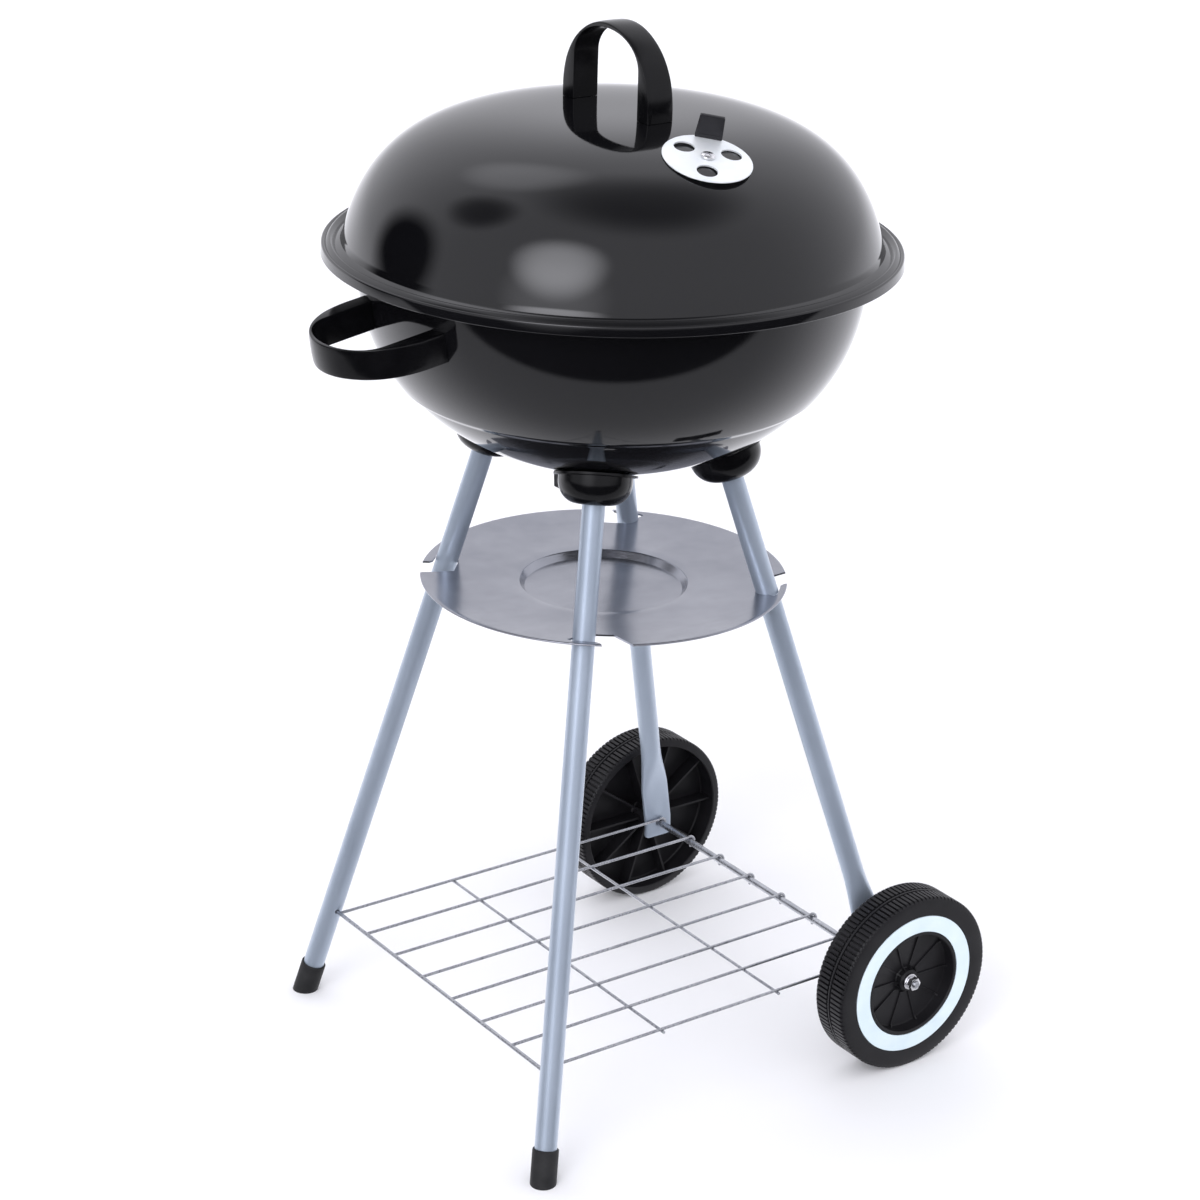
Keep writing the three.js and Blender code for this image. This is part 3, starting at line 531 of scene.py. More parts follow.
RUBBER = finish(
    "matt_black_rubber", "rubber", Specular_IOR_Level=0.3,
    tint=((80, 3), (0.3, (0.01, 0.01, 0.011)), (0.7, (0.02, 0.02, 0.021))),
    gloss=((1400, 4, 0.65), 0.52, 0.72), relief=[((1400, 4, 0.65), 0.00008, 0.5)])
WHEEL = finish(
    "moulded_wheel_plastic", "wheel_plastic", Specular_IOR_Level=0.3,
    tint=((45, 3), (0.3, (0.0065, 0.0062, 0.0075)), (0.7, (0.0105, 0.01, 0.0118))),
    gloss=((1700, 3, 0.6), 0.4, 0.54),
    relief=[((1700, 3, 0.6), 0.00005, 0.45), ((60, 2), 0.0003, 0.15)])
RING = finish(
    "pale_ring_plastic", "white_trim",
    tint=((55, 3), (0.3, (0.6, 0.71, 0.76)), (0.7, (0.66, 0.76, 0.8))),
    gloss=((900, 2), 0.32, 0.46), relief=[((1200, 2), 0.00003, 0.3)])
FLOOR = finish(
    "pale_studio_floor", None, Roughness=0.6,
    tint=((3, 3), (0.3, (0.88, 0.88, 0.885)), (0.7, (0.92, 0.92, 0.92))))

# ---------------- kettle outlines


def shell_curve(shell, start, end, count, grow=0.0):
    """Points of a superellipse between two polar angles in degrees, grown outwards."""
    points = []
    for degrees in np.linspace(start, end, count + 1):
        a = math.radians(degrees)
        c = abs(math.cos(a)) / (shell["radius"] + grow)
        s = abs(math.sin(a)) / (shell["height"] + grow)
        reach = (c ** shell["power"] + s ** shell["power"]) ** (-1 / shell["power"])
        radius = 0.0 if abs(abs(degrees) - 90) < TINY else reach * math.cos(a)
        points.append((radius, shell["centre"] + reach * math.sin(a)))
    return points


def shell_height(shell, radius, sign):
    """Height of a shell's outer surface; sign is 1 for the lid and -1 for the bowl."""
    rest = 1 - (radius / shell["radius"]) ** shell["power"]
    return shell["centre"] + sign * shell["height"] * rest ** (1 / shell["power"])


def shell_radius(shell, z):
    """Radius of a shell's outer surface at a height."""
    share = abs(z - shell["centre"]) / shell["height"]
    return shell["radius"] * (1 - share ** shell["power"]) ** (1 / shell["power"])


def lid_line():
    """The lid's middle line: dome, ledge with a shallow groove, and the turned-down lip."""
    ledge = LEDGE_Z - SHEET / 2
    dome = [p for p in shell_curve(LID, 90, LID["foot"] - 1, 130, -SHEET / 2) if p[1] > ledge + 2.4]
    foot = dome[-1][0] + 1.2
    edge = RIM_R - SHEET / 2
    tail = [dome[-1], (foot, ledge), (LEDGE_R + 4, ledge), (LEDGE_R + 7, ledge - 1.1),
            (LEDGE_R + 10, ledge), (edge, ledge), (edge, RIM_Z + SHEET / 2)]
    return dome[:-1] + filleted(tail, [0, 1.8, 3, 3, 3, 3.2, 0])


def bowl_line():
    """The bowl's middle line: flat bottom, wall with its pressed ledge, and the flange."""
    line = [(0, BOWL_FLOOR + SHEET / 2), (BOWL_FLAT_R * 0.5, BOWL_FLOOR + SHEET / 2),
            (BOWL_FLAT_R - 1, BOWL_FLOOR + SHEET / 2)]
    for radius, z in shell_curve(BOWL, -90, 0, 260, -SHEET / 2):
        below = min(1.0, max(0.0, (STEP["z"] - z) / STEP["height"]))
        radius -= STEP["depth"] * below * below * (3 - 2 * below)
        if radius > BOWL_FLAT_R:
            line.append((radius, z))
    top = BOWL_HI.z - SHEET / 2
    wall = line[-1][0]
    tail = [(wall, RIM_Z + 1), (wall, top), (FLANGE_R - SHEET / 2, top),
            (FLANGE_R - SHEET / 2, top - 3.2 + SHEET / 2)]
    return line + filleted(tail, [0, 2, 2, 0])


def lid_envelope():
    return turned([(0, RIM_Z), *shell_curve(LID, LID["foot"], 90, 90, GAP)], ROUND)


def bowl_envelope(grow=GAP):
    wall = shell_curve(BOWL, 0, -90, 110, grow)
    return turned([(0, RIM_Z + 2), (BOWL["radius"] + grow, RIM_Z + 2), *wall], ROUND)


# ---------------- screws, nuts and washers


def pan_screw(head_r, head_h, shank_r, length, cross=True):
    """A pan-headed screw along its own -Z with its head above z = 0 and a cross recess."""
    crown = [(head_r * math.sin(a), head_h * (0.35 + 0.65 * math.cos(a)))
             for a in np.linspace(0, math.pi / 2, 12)]
    tip = [(shank_r, -length + 0.6), (shank_r - 0.6, -length), (0, -length)]
    body = turned([*crown, (head_r, 0.15), (head_r - 0.15, 0), (shank_r, 0), *tip])
    if not cross:
        return body
    arm, thin = head_r * 0.56, head_r * 0.1
    slots = []
    for turn in (0, 90):
        section = [(-arm, -thin), (arm, -thin), (arm, thin), (-arm, thin)]
        slot = plate(section, head_h * 0.45, head_h + 1)
        slots.append(slot.moved(Matrix.Rotation(math.radians(turn), 4, "Z")))
    return carve(body, cuts=slots)


def hex_nut(flats, height, bore):
    """A chamfered hexagonal nut centred on z = 0."""
    corner = flats / math.sqrt(3)
    prism = turned([(0, -height / 2), (corner, -height / 2), (corner, height / 2), (0, height / 2)], 6)
    cut = corner - flats / 2
    barrel = turned([(0, -height / 2), (flats / 2, -height / 2), (corner, -height / 2 + 0.6 * cut),
                     (corner, height / 2 - 0.6 * cut), (flats / 2 - 0.3, height / 2), (0, height / 2)])
    hole = rod((0, 0, -height), (0, 0, height), bore)
    return carve(prism, keep=[barrel], cuts=[hole])


def washer(inner, outer, low, high):
    edge = 0.2
    return turned([(inner, low), (outer - edge, low), (outer, low + edge), (outer, high - edge),
                   (outer - edge, high), (inner, high)])


# ---------------- handles


def strap_section(width, thick, corner, crown):
    """A crowned strap's section as (across, outwards) points, with rounded edges."""
    half = width / 2
    outer = [(half - (width * i) / 10, thick) for i in range(1, 10)]
    ring = filleted([(-half, 0), (half, 0), (half, thick), *outer, (-half, thick)],
                    [corner, corner, corner, *[0] * len(outer), corner], closed=True)
    return [(w, s - crown * (w / half) ** 2 * s / thick) for w, s in ring]


def handle_arch():
    """The arch with roots that reach through the surface: X across, Y away from it, Z along the width.

    Its outside is a tall half ellipse. Its finger opening has straight sides under a flatter one.
    """
    half, spring, root = HANDLE["half"], HANDLE["spring"], HANDLE["root"]
    inner, roof = half - HANDLE["leg"], HANDLE["grip_spring"]
    outer_rise = HANDLE["rise"] - spring
    inner_rise = HANDLE["rise"] - HANDLE["top"] - roof

    def ring(outside, inside):
        out = outside - inside
        thick = out.length
        out.normalize()
        section = strap_section(HANDLE["width"], thick, 1.5, 0.5)
        return [(inside.x + out.x * s, inside.y + out.y * s, w) for w, s in section]

    def outside_at(angle):
        return Vector((half * math.cos(angle), spring + outer_rise * math.sin(angle)))

    def inside_at(angle):
        return Vector((inner * math.cos(angle), roof + inner_rise * math.sin(angle)))

    start = 0.36
    side = [(Vector((half, level)), Vector((inner, level))) for level in (root, -6, spring - 1)]
    for share in np.linspace(0, 1, 15)[1:-1]:
        side.append((outside_at(start * share), Vector((inner, spring + (roof - spring) * share))))
    top = [(outside_at(start + (math.pi - 2 * start) * share), inside_at(math.pi * share))
           for share in np.linspace(0, 1, 57)]
    far = [(Vector((-a.x, a.y)), Vector((-b.x, b.y))) for a, b in reversed(side)]
    return lofted([ring(outside, inside) for outside, inside in [*side, *top, *far]])


def build_handle(prefix, place, envelope, sink):
    """An arch trimmed to the surface it stands on, and its two screws driven from inside the shell."""
    stand = matrix_at((0, 0, 0), (0, 1, 0), (0, 0, 1), (1, 0, 0))
    y, depth = HANDLE_SCREW["y"], HANDLE_SCREW["depth"]
    holes = [rod((0, at, -30), (0, at, depth - sink + 1), SCREW_HOLE_R, DRILL).moved(place)
             for at in (-y, y)]
    arch = handle_arch().moved(place @ stand)
    piece(prefix, carve(arch, cuts=[envelope, *holes]), BLACK)
    for number, at in enumerate((-y, y), 1):
        flip = Matrix.Translation((0, at, -sink)) @ Matrix.Rotation(math.pi, 4, "X")
        screw = pan_screw(HANDLE_SCREW["head"], HANDLE_SCREW["head_h"], SCREW_R, depth)
        piece(f"{prefix}_screw_{number}", screw.moved(place @ flip), PLATED)
    return holes


# ---------------- dampers


def damper_disc(spec, vent):
    """A round vented disc with an upright tongue near its edge, about its own Z axis."""
    radius, sag = spec["radius"], spec["sag"]
    edge = 0.35

    def bow(r):
        return -sag * (r / radius) ** 2

    top = [(r, bow(r) + DAMPER_T) for r in np.linspace(0, radius - edge, 20)]
    rim = [(radius - edge + edge * math.sin(a), bow(radius) + DAMPER_T / 2 * (1 + math.cos(a)))
           for a in np.linspace(0.3, math.pi - 0.3, 8)]
    under = [(r, bow(r)) for r in np.linspace(radius - edge, 0, 20)]
    disc = turned([*top, *rim, *under], 128)
    turn = Matrix.Rotation(math.radians(spec["tongue"]), 4, "Z")
    half, height = TONGUE["half"], TONGUE["height"]
    across = [(-half, 0), (half, 0), (half, height), (-half, height)]
    tongue = plate(filleted(across, [0, 0, 2, 2], closed=True), -DAMPER_T / 2, DAMPER_T / 2)
    root = (radius - TONGUE["inset"], 0, bow(radius) + 0.4)
    upright = matrix_at(root, (0, 1, 0), (0, 0, 1), (1, 0, 0))
    holes = [rod(p - UP * THROUGH, p + UP * THROUGH, vent["radius"])
             for p in (polar(vent["pitch"], spec["tongue"] + 60 + 360 * i / vent["count"])
                       for i in range(vent["count"]))]
    holes.append(rod(-UP * THROUGH, UP * THROUGH, SCREW_HOLE_R))
    return carve(disc, add=[tongue.moved(turn @ upright)], cuts=holes)


def damper_grip(spec, height):
    """The moulded grip over the tongue, with a slot for it and a shallow panel on each face."""
    radius = spec["radius"]
    base = -spec["sag"] + DAMPER_T + 0.6
    face = [(-10, 0), (10, 0), (10, height), (-10, height)]
    body = plate(filleted(face, [0.6, 0.6, 1.6, 1.6], closed=True), -1.7, 1.7, bevel=0.5)
    panel = [(-8.4, 3.2), (8.4, 3.2), (8.4, height - 1.6), (-8.4, height - 1.6)]
    panels = [plate(filleted(panel, 0.8, closed=True), low, low + 2) for low in (1.45, -3.45)]
    slot = plate([(-7.3, -2), (7.3, -2), (7.3, 9), (-7.3, 9)], -0.9, 0.9)
    upright = matrix_at((radius - TONGUE["inset"], 0, base), (0, 1, 0), (0, 0, 1), (1, 0, 0))
    turn = Matrix.Rotation(math.radians(spec["tongue"]), 4, "Z")
    return carve(body, cuts=[*panels, slot]).moved(turn @ upright)


def vent_holes(spec, vent, place):
    """Cuts through a shell: the damper's screw and the vents, which the disc closes at rest."""
    cuts = [rod(-UP * THROUGH, UP * THROUGH, SCREW_HOLE_R)]
    for i in range(vent["count"]):
        p = polar(vent["pitch"], spec["tongue"] + 360 * i / vent["count"])
        cuts.append(rod(p - UP * THROUGH, p + UP * THROUGH, vent["radius"]))
    return [cut.moved(place) for cut in cuts]


def lid_damper_place():
    x, y = LID_DAMPER["x"], LID_DAMPER["y"]
    radius = math.hypot(x, y)
    slope = (shell_height(LID, radius + 1, 1) - shell_height(LID, radius - 1, 1)) / 2
    normal = Vector((-slope * x / radius, -slope * y / radius, 1)).normalized()
    across = (Vector((1, 0, 0)) - normal * normal.x).normalized()
    surface = Vector((x, y, shell_height(LID, radius, 1))) + normal * LID_DAMPER["lift"]
    return matrix_at(surface, across, normal.cross(across), normal)


def build_lid_damper(place):
    piece("lid_damper", damper_disc(LID_DAMPER, LID_VENT).moved(place), DAMPER)
    piece("lid_damper_grip", damper_grip(LID_DAMPER, LID_GRIP_H).moved(place), GRIP)
    lifted = Matrix.Translation((0, 0, DAMPER_T + GAP))
    screw = pan_screw(**DAMPER_SCREW).moved(place @ lifted)
    piece("lid_damper_screw", screw, PLATED)
    under = Matrix.Translation((0, 0, -SHEET - 3.6))
    piece("lid_damper_nut", hex_nut(**DAMPER_NUT).moved(place @ under), PLATED)


def build_bowl_damper():
    drop = BOWL_FLOOR - BOWL_DAMPER["drop"]
    flip = Matrix.Translation((0, 0, drop + DAMPER_T)) @ Matrix.Rotation(math.pi, 4, "X")
    piece("bowl_damper", damper_disc(BOWL_DAMPER, BOWL_VENT).moved(flip), ZINC)
    piece("bowl_damper_grip", damper_grip(BOWL_DAMPER, BOWL_GRIP_H).moved(flip), GRIP)
    screw_at = Matrix.Translation((0, 0, BOWL_FLOOR + SHEET + GAP))
    piece("bowl_damper_screw", pan_screw(**DAMPER_SCREW).moved(screw_at), PLATED)
    nut_at = Matrix.Translation((0, 0, drop - 2.4))
    piece("bowl_damper_nut", hex_nut(**DAMPER_NUT).moved(nut_at), PLATED)


# ---------------- kettle


def build_kettle():
    crown = Matrix.Translation((0, 0, CROWN_Z))
    lid_holes = build_handle("lid_handle", crown, lid_envelope(), HANDLE_SCREW["lid_sink"])
    droop = SIDE_HANDLE_DROOP
    out = Vector((-math.cos(droop), 0, -math.sin(droop)))
    across = Vector((0, 1, 0))
    wall = shell_radius(BOWL, SIDE_HANDLE_Z)
    side = matrix_at((-wall, 0, SIDE_HANDLE_Z), across.cross(out), across, out)
    bowl_holes = build_handle("side_handle", side, bowl_envelope(), HANDLE_SCREW["bowl_sink"])

    place = lid_damper_place()
    lid = turned(sheet_outline(lid_line(), SHEET), ROUND)
    piece("lid_shell", carve(lid, cuts=[*lid_holes, *vent_holes(LID_DAMPER, LID_VENT, place)]), ENAMEL)
    build_lid_damper(place)

    floor_at = Matrix.Translation((0, 0, BOWL_FLOOR))
    bolts = [rod(leg_point(leg, -THROUGH), leg_point(leg, THROUGH), BOLT_HOLE_R, DRILL) for leg in LEGS]
    bowl = turned(sheet_outline(bowl_line(), SHEET), ROUND)
    cuts = [*bowl_holes, *vent_holes(BOWL_DAMPER, BOWL_VENT, floor_at), *bolts]
    piece("bowl_shell", carve(bowl, cuts=cuts), ENAMEL)
    build_bowl_damper()


# ---------------- grates


def build_grate(node, spec, handles):
    """A ring with parallel bars, one brace beneath and, on the cooking grate, two lifting handles."""
    level, radius, wire = spec["z"], spec["radius"], spec["wire"]
    circle = [polar(radius, d, level) for d in np.linspace(0, 360, 160, endpoint=False)]
    wires = [tube(circle, wire, closed=True)]
    pitch = 2 * radius / (spec["bars"] + 1)
    for i in range(1, spec["bars"] + 1):
        y = -radius + i * pitch
        reach = math.sqrt(radius ** 2 - y ** 2)
        wires.append(tube([(-reach, y, level + 1), (reach, y, level + 1)], BAR_R))
    wires.append(tube([(0, -radius, level - 0.8), (0, radius, level - 0.8)], BAR_R))
    foot, high = 2 * pitch, level + GRATE_HANDLE["rise"]
    narrow = foot * GRATE_HANDLE["narrowing"]
    for side in handles:
        x = side * (radius - GRATE_HANDLE["inset"])
        leaning = x - side * GRATE_HANDLE["lean"]
        corners = [(x, -foot, level + 1), (leaning, -narrow, high), (leaning, narrow, high),
                   (x, foot, level + 1)]
        wires.append(tube(filleted(corners, GRATE_HANDLE["bend"], steps=8), BAR_R))
    piece(node, joined(wires), CHROME if handles else WIRE)


def build_grates():
    build_grate("cooking_grate", COOKING, (1, -1))
    build_grate("charcoal_grate", CHARCOAL, ())
    top = COOKING["z"] - COOKING["wire"] - GAP
    outer, inner, thick = SUPPORT["outer"], SUPPORT["inner"], SUPPORT["thick"]
    high, low = top + SUPPORT["rise"], top - thick
    section = [(outer, high), (outer - thick, high), (outer - thick, top), (inner, top), (inner, low),
               (outer, low)]
    line = filleted(section, [0.5, 0.5, 1.5, 0.5, 0.5, 2.5], closed=True)
    for i in range(4):
        flat = plate(line, -SUPPORT["half"], SUPPORT["half"], bevel=0.4)
        upright = matrix_at((0, 0, 0), (1, 0, 0), (0, 0, 1), (0, -1, 0))
        turn = Matrix.Rotation(math.radians(45 + 90 * i), 4, "Z")
        piece(f"grate_support_{i + 1}", flat.moved(turn @ upright), ZINC)


# ---------------- legs


def leg_axes():
    """Each leg's axis: its root on the bowl, its direction and its lower end."""
    legs = []
    for side, hand in ((1, "left"), (-1, "right")):
        ends = (("front", -1, Vector((FOOT.x, side * FOOT.y, 0))),
                ("rear", 1, Vector((AXLE.x, side * BLADE_Y, AXLE.z))))
        for name, sign, end in ends:
            top = Vector((sign * LEG_TOP.x, side * LEG_TOP.y, LEG_TOP.z))
            down = (end - top).normalized()
            root = top.copy()
            for _ in range(40):
                surface = shell_height(BOWL, math.hypot(root.x, root.y), -1) - 1.2
                root -= down * (surface - root.z)
            legs.append({"name": f"{name}_{hand}", "side": side, "wheeled": name == "rear",
                         "top": top, "end": end, "down": down, "root": root})
    return legs


def leg_point(leg, distance):
    return leg["root"] + leg["down"] * distance


def leg_at_height(leg, z):
    return leg["top"] + leg["down"] * ((leg["top"].z - z) / -leg["down"].z)


def leg_frame(leg):
    return along(leg["root"], -leg["down"])


LEGS = leg_axes()


def squashed_ring(centre, wide, thin, half_wide, half_thin, power, sides=FINE):
    """A ring between a circle (power 2) and a flat bar with rounded edges (higher powers)."""
    ring = []
    for a in np.linspace(0, 2 * math.pi, sides, endpoint=False):
        c, s = math.cos(a), math.sin(a)
        x = math.copysign(abs(c) ** (2 / power), c) * half_wide
        y = math.copysign(abs(s) ** (2 / power), s) * half_thin
        ring.append(centre + wide * x + thin * y)
    return ring


def front_leg(leg):
    length = (leg_at_height(leg, TUBE_END_Z) - leg["root"]).length
    inner, edge = TUBE_R - TUBE_WALL, 0.4
    pipe = turned([(TUBE_R, -LEG_INSET - edge), (TUBE_R, -length + edge), (TUBE_R - edge, -length),
                   (inner, -length), (inner, -LEG_INSET), (TUBE_R - edge, -LEG_INSET)], 64)
    hole = leg_at_height(leg, SHELF["z"])
    inward = Vector((0, -leg["side"], 0))
    drill = rod(hole, hole + inward * 2 * TUBE_R, SHELF["wire"] + 0.9, DRILL)
    return carve(pipe.moved(leg_frame(leg)), cuts=[drill])


def rear_leg(leg):
    """A tube pressed flat at its lower end, drilled for the axle, plumb and cut level below it."""
    length = (leg["end"] - leg["root"]).length
    slanted = Vector((0, 1, 0)).cross(leg["down"]).normalized()

    def ring(distance, half_wide, half_thin, power):
        below = max(0.0, distance - length)
        wide = Vector((-1, 0, 0)) if below else slanted
        thin = Vector((0, 1, 0)) if below else leg["down"].cross(slanted).normalized()
        centre = leg_point(leg, distance - below) - UP * below
        return squashed_ring(centre, wide, thin, half_wide, half_thin, power)

    stations = [(LEG_INSET, TUBE_R, TUBE_R, 2), (LEG_INSET + 0.5, TUBE_R, TUBE_R, 2)]
    stations += [(d, TUBE_R, TUBE_R, 2) for d in np.linspace(40, length - BLADE["start"], 5)]
    for share in np.linspace(0, 1, 17)[1:]:
        eased = share * share * (3 - 2 * share)
        stations.append((length - BLADE["start"] + share * (BLADE["start"] - BLADE["end"]),
                         TUBE_R + (BLADE["half"] - TUBE_R) * eased,
                         TUBE_R + (BLADE["thin"] - TUBE_R) * eased, 2 + 3.5 * share ** 3))
    stations += [(length, BLADE["half"], BLADE["thin"], 6),
                 (length + BLADE["below"] - 2.5, BLADE["half"], BLADE["thin"], 7),
                 (length + BLADE["below"] - 0.8, BLADE["half"] - 0.7, BLADE["thin"], 7),
                 (length + BLADE["below"], BLADE["half"] - 2.2, BLADE["thin"] - 0.3, 7)]
    rings = [ring(*station) for station in stations]
    bore = rod(leg_point(leg, 0), leg_point(leg, length - BLADE["start"] + 4), TUBE_R - TUBE_WALL)
    hole = leg["end"]
    drill = rod(hole - Vector((0, 20, 0)), hole + Vector((0, 20, 0)), AXLE_R + 0.5)
    return carve(lofted(rings), cuts=[bore, drill])


def leg_cup(leg):
    """A glossy cup: a thin flange laid against the bowl over a rounded body with a socket."""
    flange, lip, body, tip, mouth, start, depth, inside = (
        CUP[k] for k in ("flange", "lip", "body", "tip", "mouth", "shoulder", "depth", "inside"))
    profile = [(0, inside), (body, inside), (body, -start)]
    profile += [(tip + (body - tip) * math.cos(a), -start - (depth - start) * math.sin(a))
                for a in np.linspace(0.1, math.pi / 2, 18)]
    profile += [(mouth, -depth), (0, -depth)]
    frame_at = leg_frame(leg)
    bulk = turned(profile, 96).moved(frame_at)
    disc = turned([(0, inside), (flange, inside), (flange, -lip), (0, -lip)], 96).moved(frame_at)
    thin = carve(disc, keep=[bowl_envelope(GAP + CUP["flange_t"])])
    socket = rod((0, 0, -LEG_INSET + GAP), (0, 0, -depth - 1), TUBE_R + GAP).moved(frame_at)
    bolt = rod(UP * THROUGH, -UP * THROUGH, BOLT_HOLE_R, DRILL).moved(frame_at)
    return carve(bulk, add=[thin], cuts=[bowl_envelope(), socket, bolt])


def foot_cap(leg):
    """A rubber ferrule round the leg's end, flat where it stands on the floor."""
    length = (leg_at_height(leg, TUBE_END_Z) - leg["root"]).length
    top, edge = -length + CAP_H, 1
    rim = [(CAP_R - edge + edge * math.cos(a), top - edge + edge * math.sin(a))
           for a in np.linspace(0, math.pi / 2, 6)]
    profile = [(0, -length - 20), (CAP_R, -length - 20), (CAP_R, -length - 2), *rim,
               (TUBE_R + GAP, top), (TUBE_R + GAP, -length - GAP), (0, -length - GAP)]
    below = plate([(-200, -200), (200, -200), (200, 200), (-200, 200)], -100, 0)
    cap = turned(profile, 64).moved(leg_frame(leg))
    return carve(cap, cuts=[below.moved(Matrix.Translation((leg["end"].x, leg["end"].y, 0)))])


def build_legs():
    for leg in LEGS:
        name, frame_at = leg["name"], leg_frame(leg)
        piece(f"leg_cup_{name}", leg_cup(leg), BLACK)
        tube_piece = rear_leg(leg) if leg["wheeled"] else front_leg(leg)
        piece(f"leg_{name}", tube_piece, PAINT)
        plug_r = TUBE_R - TUBE_WALL - GAP
        high, low, edge = -LEG_INSET - 1, -LEG_INSET - 1 - INSERT_L, 0.6
        plug = turned([(BOLT_R + GAP, high), (plug_r - edge, high), (plug_r, high - edge),
                       (plug_r, low + edge), (plug_r - edge, low), (BOLT_R + GAP, low)])
        piece(f"leg_insert_{name}", plug.moved(frame_at), WIRE)
        head_at = Matrix.Translation((0, 0, SHEET + 3.8))
        bolt = pan_screw(**LEG_BOLT).moved(frame_at @ head_at)
        piece(f"leg_bolt_{name}", bolt, PLATED)
        if not leg["wheeled"]:
            piece(f"foot_cap_{name}", foot_cap(leg), RUBBER)


# ---------------- ash catcher

ASH = {"z": ASH_HI.z, "radius": ASH_HI.y, "recess": 70, "depth": 7, "dish": 5}
SLOT = {"inner": 20, "clear": 1.2, "from": -5.5, "tip": 6, "to": 16.4,
        "pocket": 13, "mouth": 3.5, "root": 5}


def ash_slot(leg):
    """The bayonet slot at a leg: a round-ended pocket that opens at the rim beside a hooked finger."""
    at = leg_at_height(leg, ASH["z"] - 1)
    angle, leg_r = math.degrees(math.atan2(at.y, at.x)), math.hypot(at.x, at.y)
    inner, hook = leg_r - SLOT["inner"], leg_r + TUBE_R + SLOT["clear"]
    outside = ASH["radius"] + 6
    start, tip, end = angle + SLOT["from"], angle + SLOT["tip"], angle + SLOT["to"]

    def sweep(radius, first, last):
        return [tuple(polar(radius, d).to_2d()) for d in np.linspace(first, last, 7)]

    near = [tuple(polar(inner, d).to_2d()) for d in (start, end)]
    far, back = sweep(outside, end, tip + 1), sweep(hook, tip, start)
    pocket = [SLOT["pocket"]] * len(near)
    radii = [*pocket, *[0] * len(far), SLOT["mouth"], *[0] * (len(back) - 2), SLOT["root"]]
    outline = filleted([*near, *far, *back], radii, steps=10, closed=True)
    return plate(outline, ASH["z"] - 20, ASH["z"] + 20)


def build_ash_catcher():
    z, radius, recess = ASH["z"] - SHEET / 2, ASH["radius"], ASH["recess"]
    dish = z - ASH["dish"]
    floor = dish - ASH["depth"]
    line = [(recess - 16, floor), (recess - 5, floor), (recess - 1.5, dish), (recess + 4, dish)]
    inside = [(r, floor) for r in np.linspace(0, recess - 18, 14)]
    bends = filleted(line, [0, 1.6, 1.6, 0])
    slope = [(r, dish + ASH["dish"] * ((r - recess - 4) / (radius - recess - 6)) ** 1.9)
             for r in np.linspace(recess + 8, radius - 2, 34)]
    disc = turned(sheet_outline([*inside, *bends, *slope, (radius - SHEET / 2, z)], SHEET), 256)
    piece("ash_catcher", carve(disc, cuts=[ash_slot(leg) for leg in LEGS]), ZINC)


# ---------------- wire shelf

SHELF = {"z": 82, "front": -158.6, "half": 155, "wires": 8, "wire": 1.3, "crossbars": (-41, 77)}


def build_shelf():
    """Long wires hooked over the axle, welded on two crossbars and a front wire held in the legs."""
    z, wire = SHELF["z"], SHELF["wire"]
    front, half = SHELF["front"], SHELF["half"]
    hook_r = AXLE_R + GAP + wire
    start = math.pi - math.asin(min(1.0, (z - AXLE.z) / hook_r))
    wires = []
    for y in np.linspace(-half, half, SHELF["wires"]):
        hook = [(AXLE.x + hook_r * math.cos(a), y, AXLE.z + hook_r * math.sin(a))
                for a in np.linspace(start, start - 1.1 * math.pi, 22)]
        straight = [(x, y, z) for x in (front, front + 20, 0, hook[0][0] - 4)]
        wires.append(tube([*straight, *hook], wire))
    for x in SHELF["crossbars"]:
        level = z - 2 * wire + 0.5
        wires.append(tube([(x, -half - 2, level), (x, half + 2, level)], wire))
    leg_y = abs(leg_at_height(LEGS[0], z).y)
    wires.append(tube([(front, 3 - leg_y, z), (front, leg_y - 3, z)], wire + 0.3))
    piece("wire_shelf", joined(wires), WIRE)


# ---------------- wheels

TREAD = {"lugs": 112, "depth": 2.4, "slot": 0.4, "rib": 0.9, "groove": 1.3}
WEB = (1.5, 5.5)
WHEEL_RIBS = 10


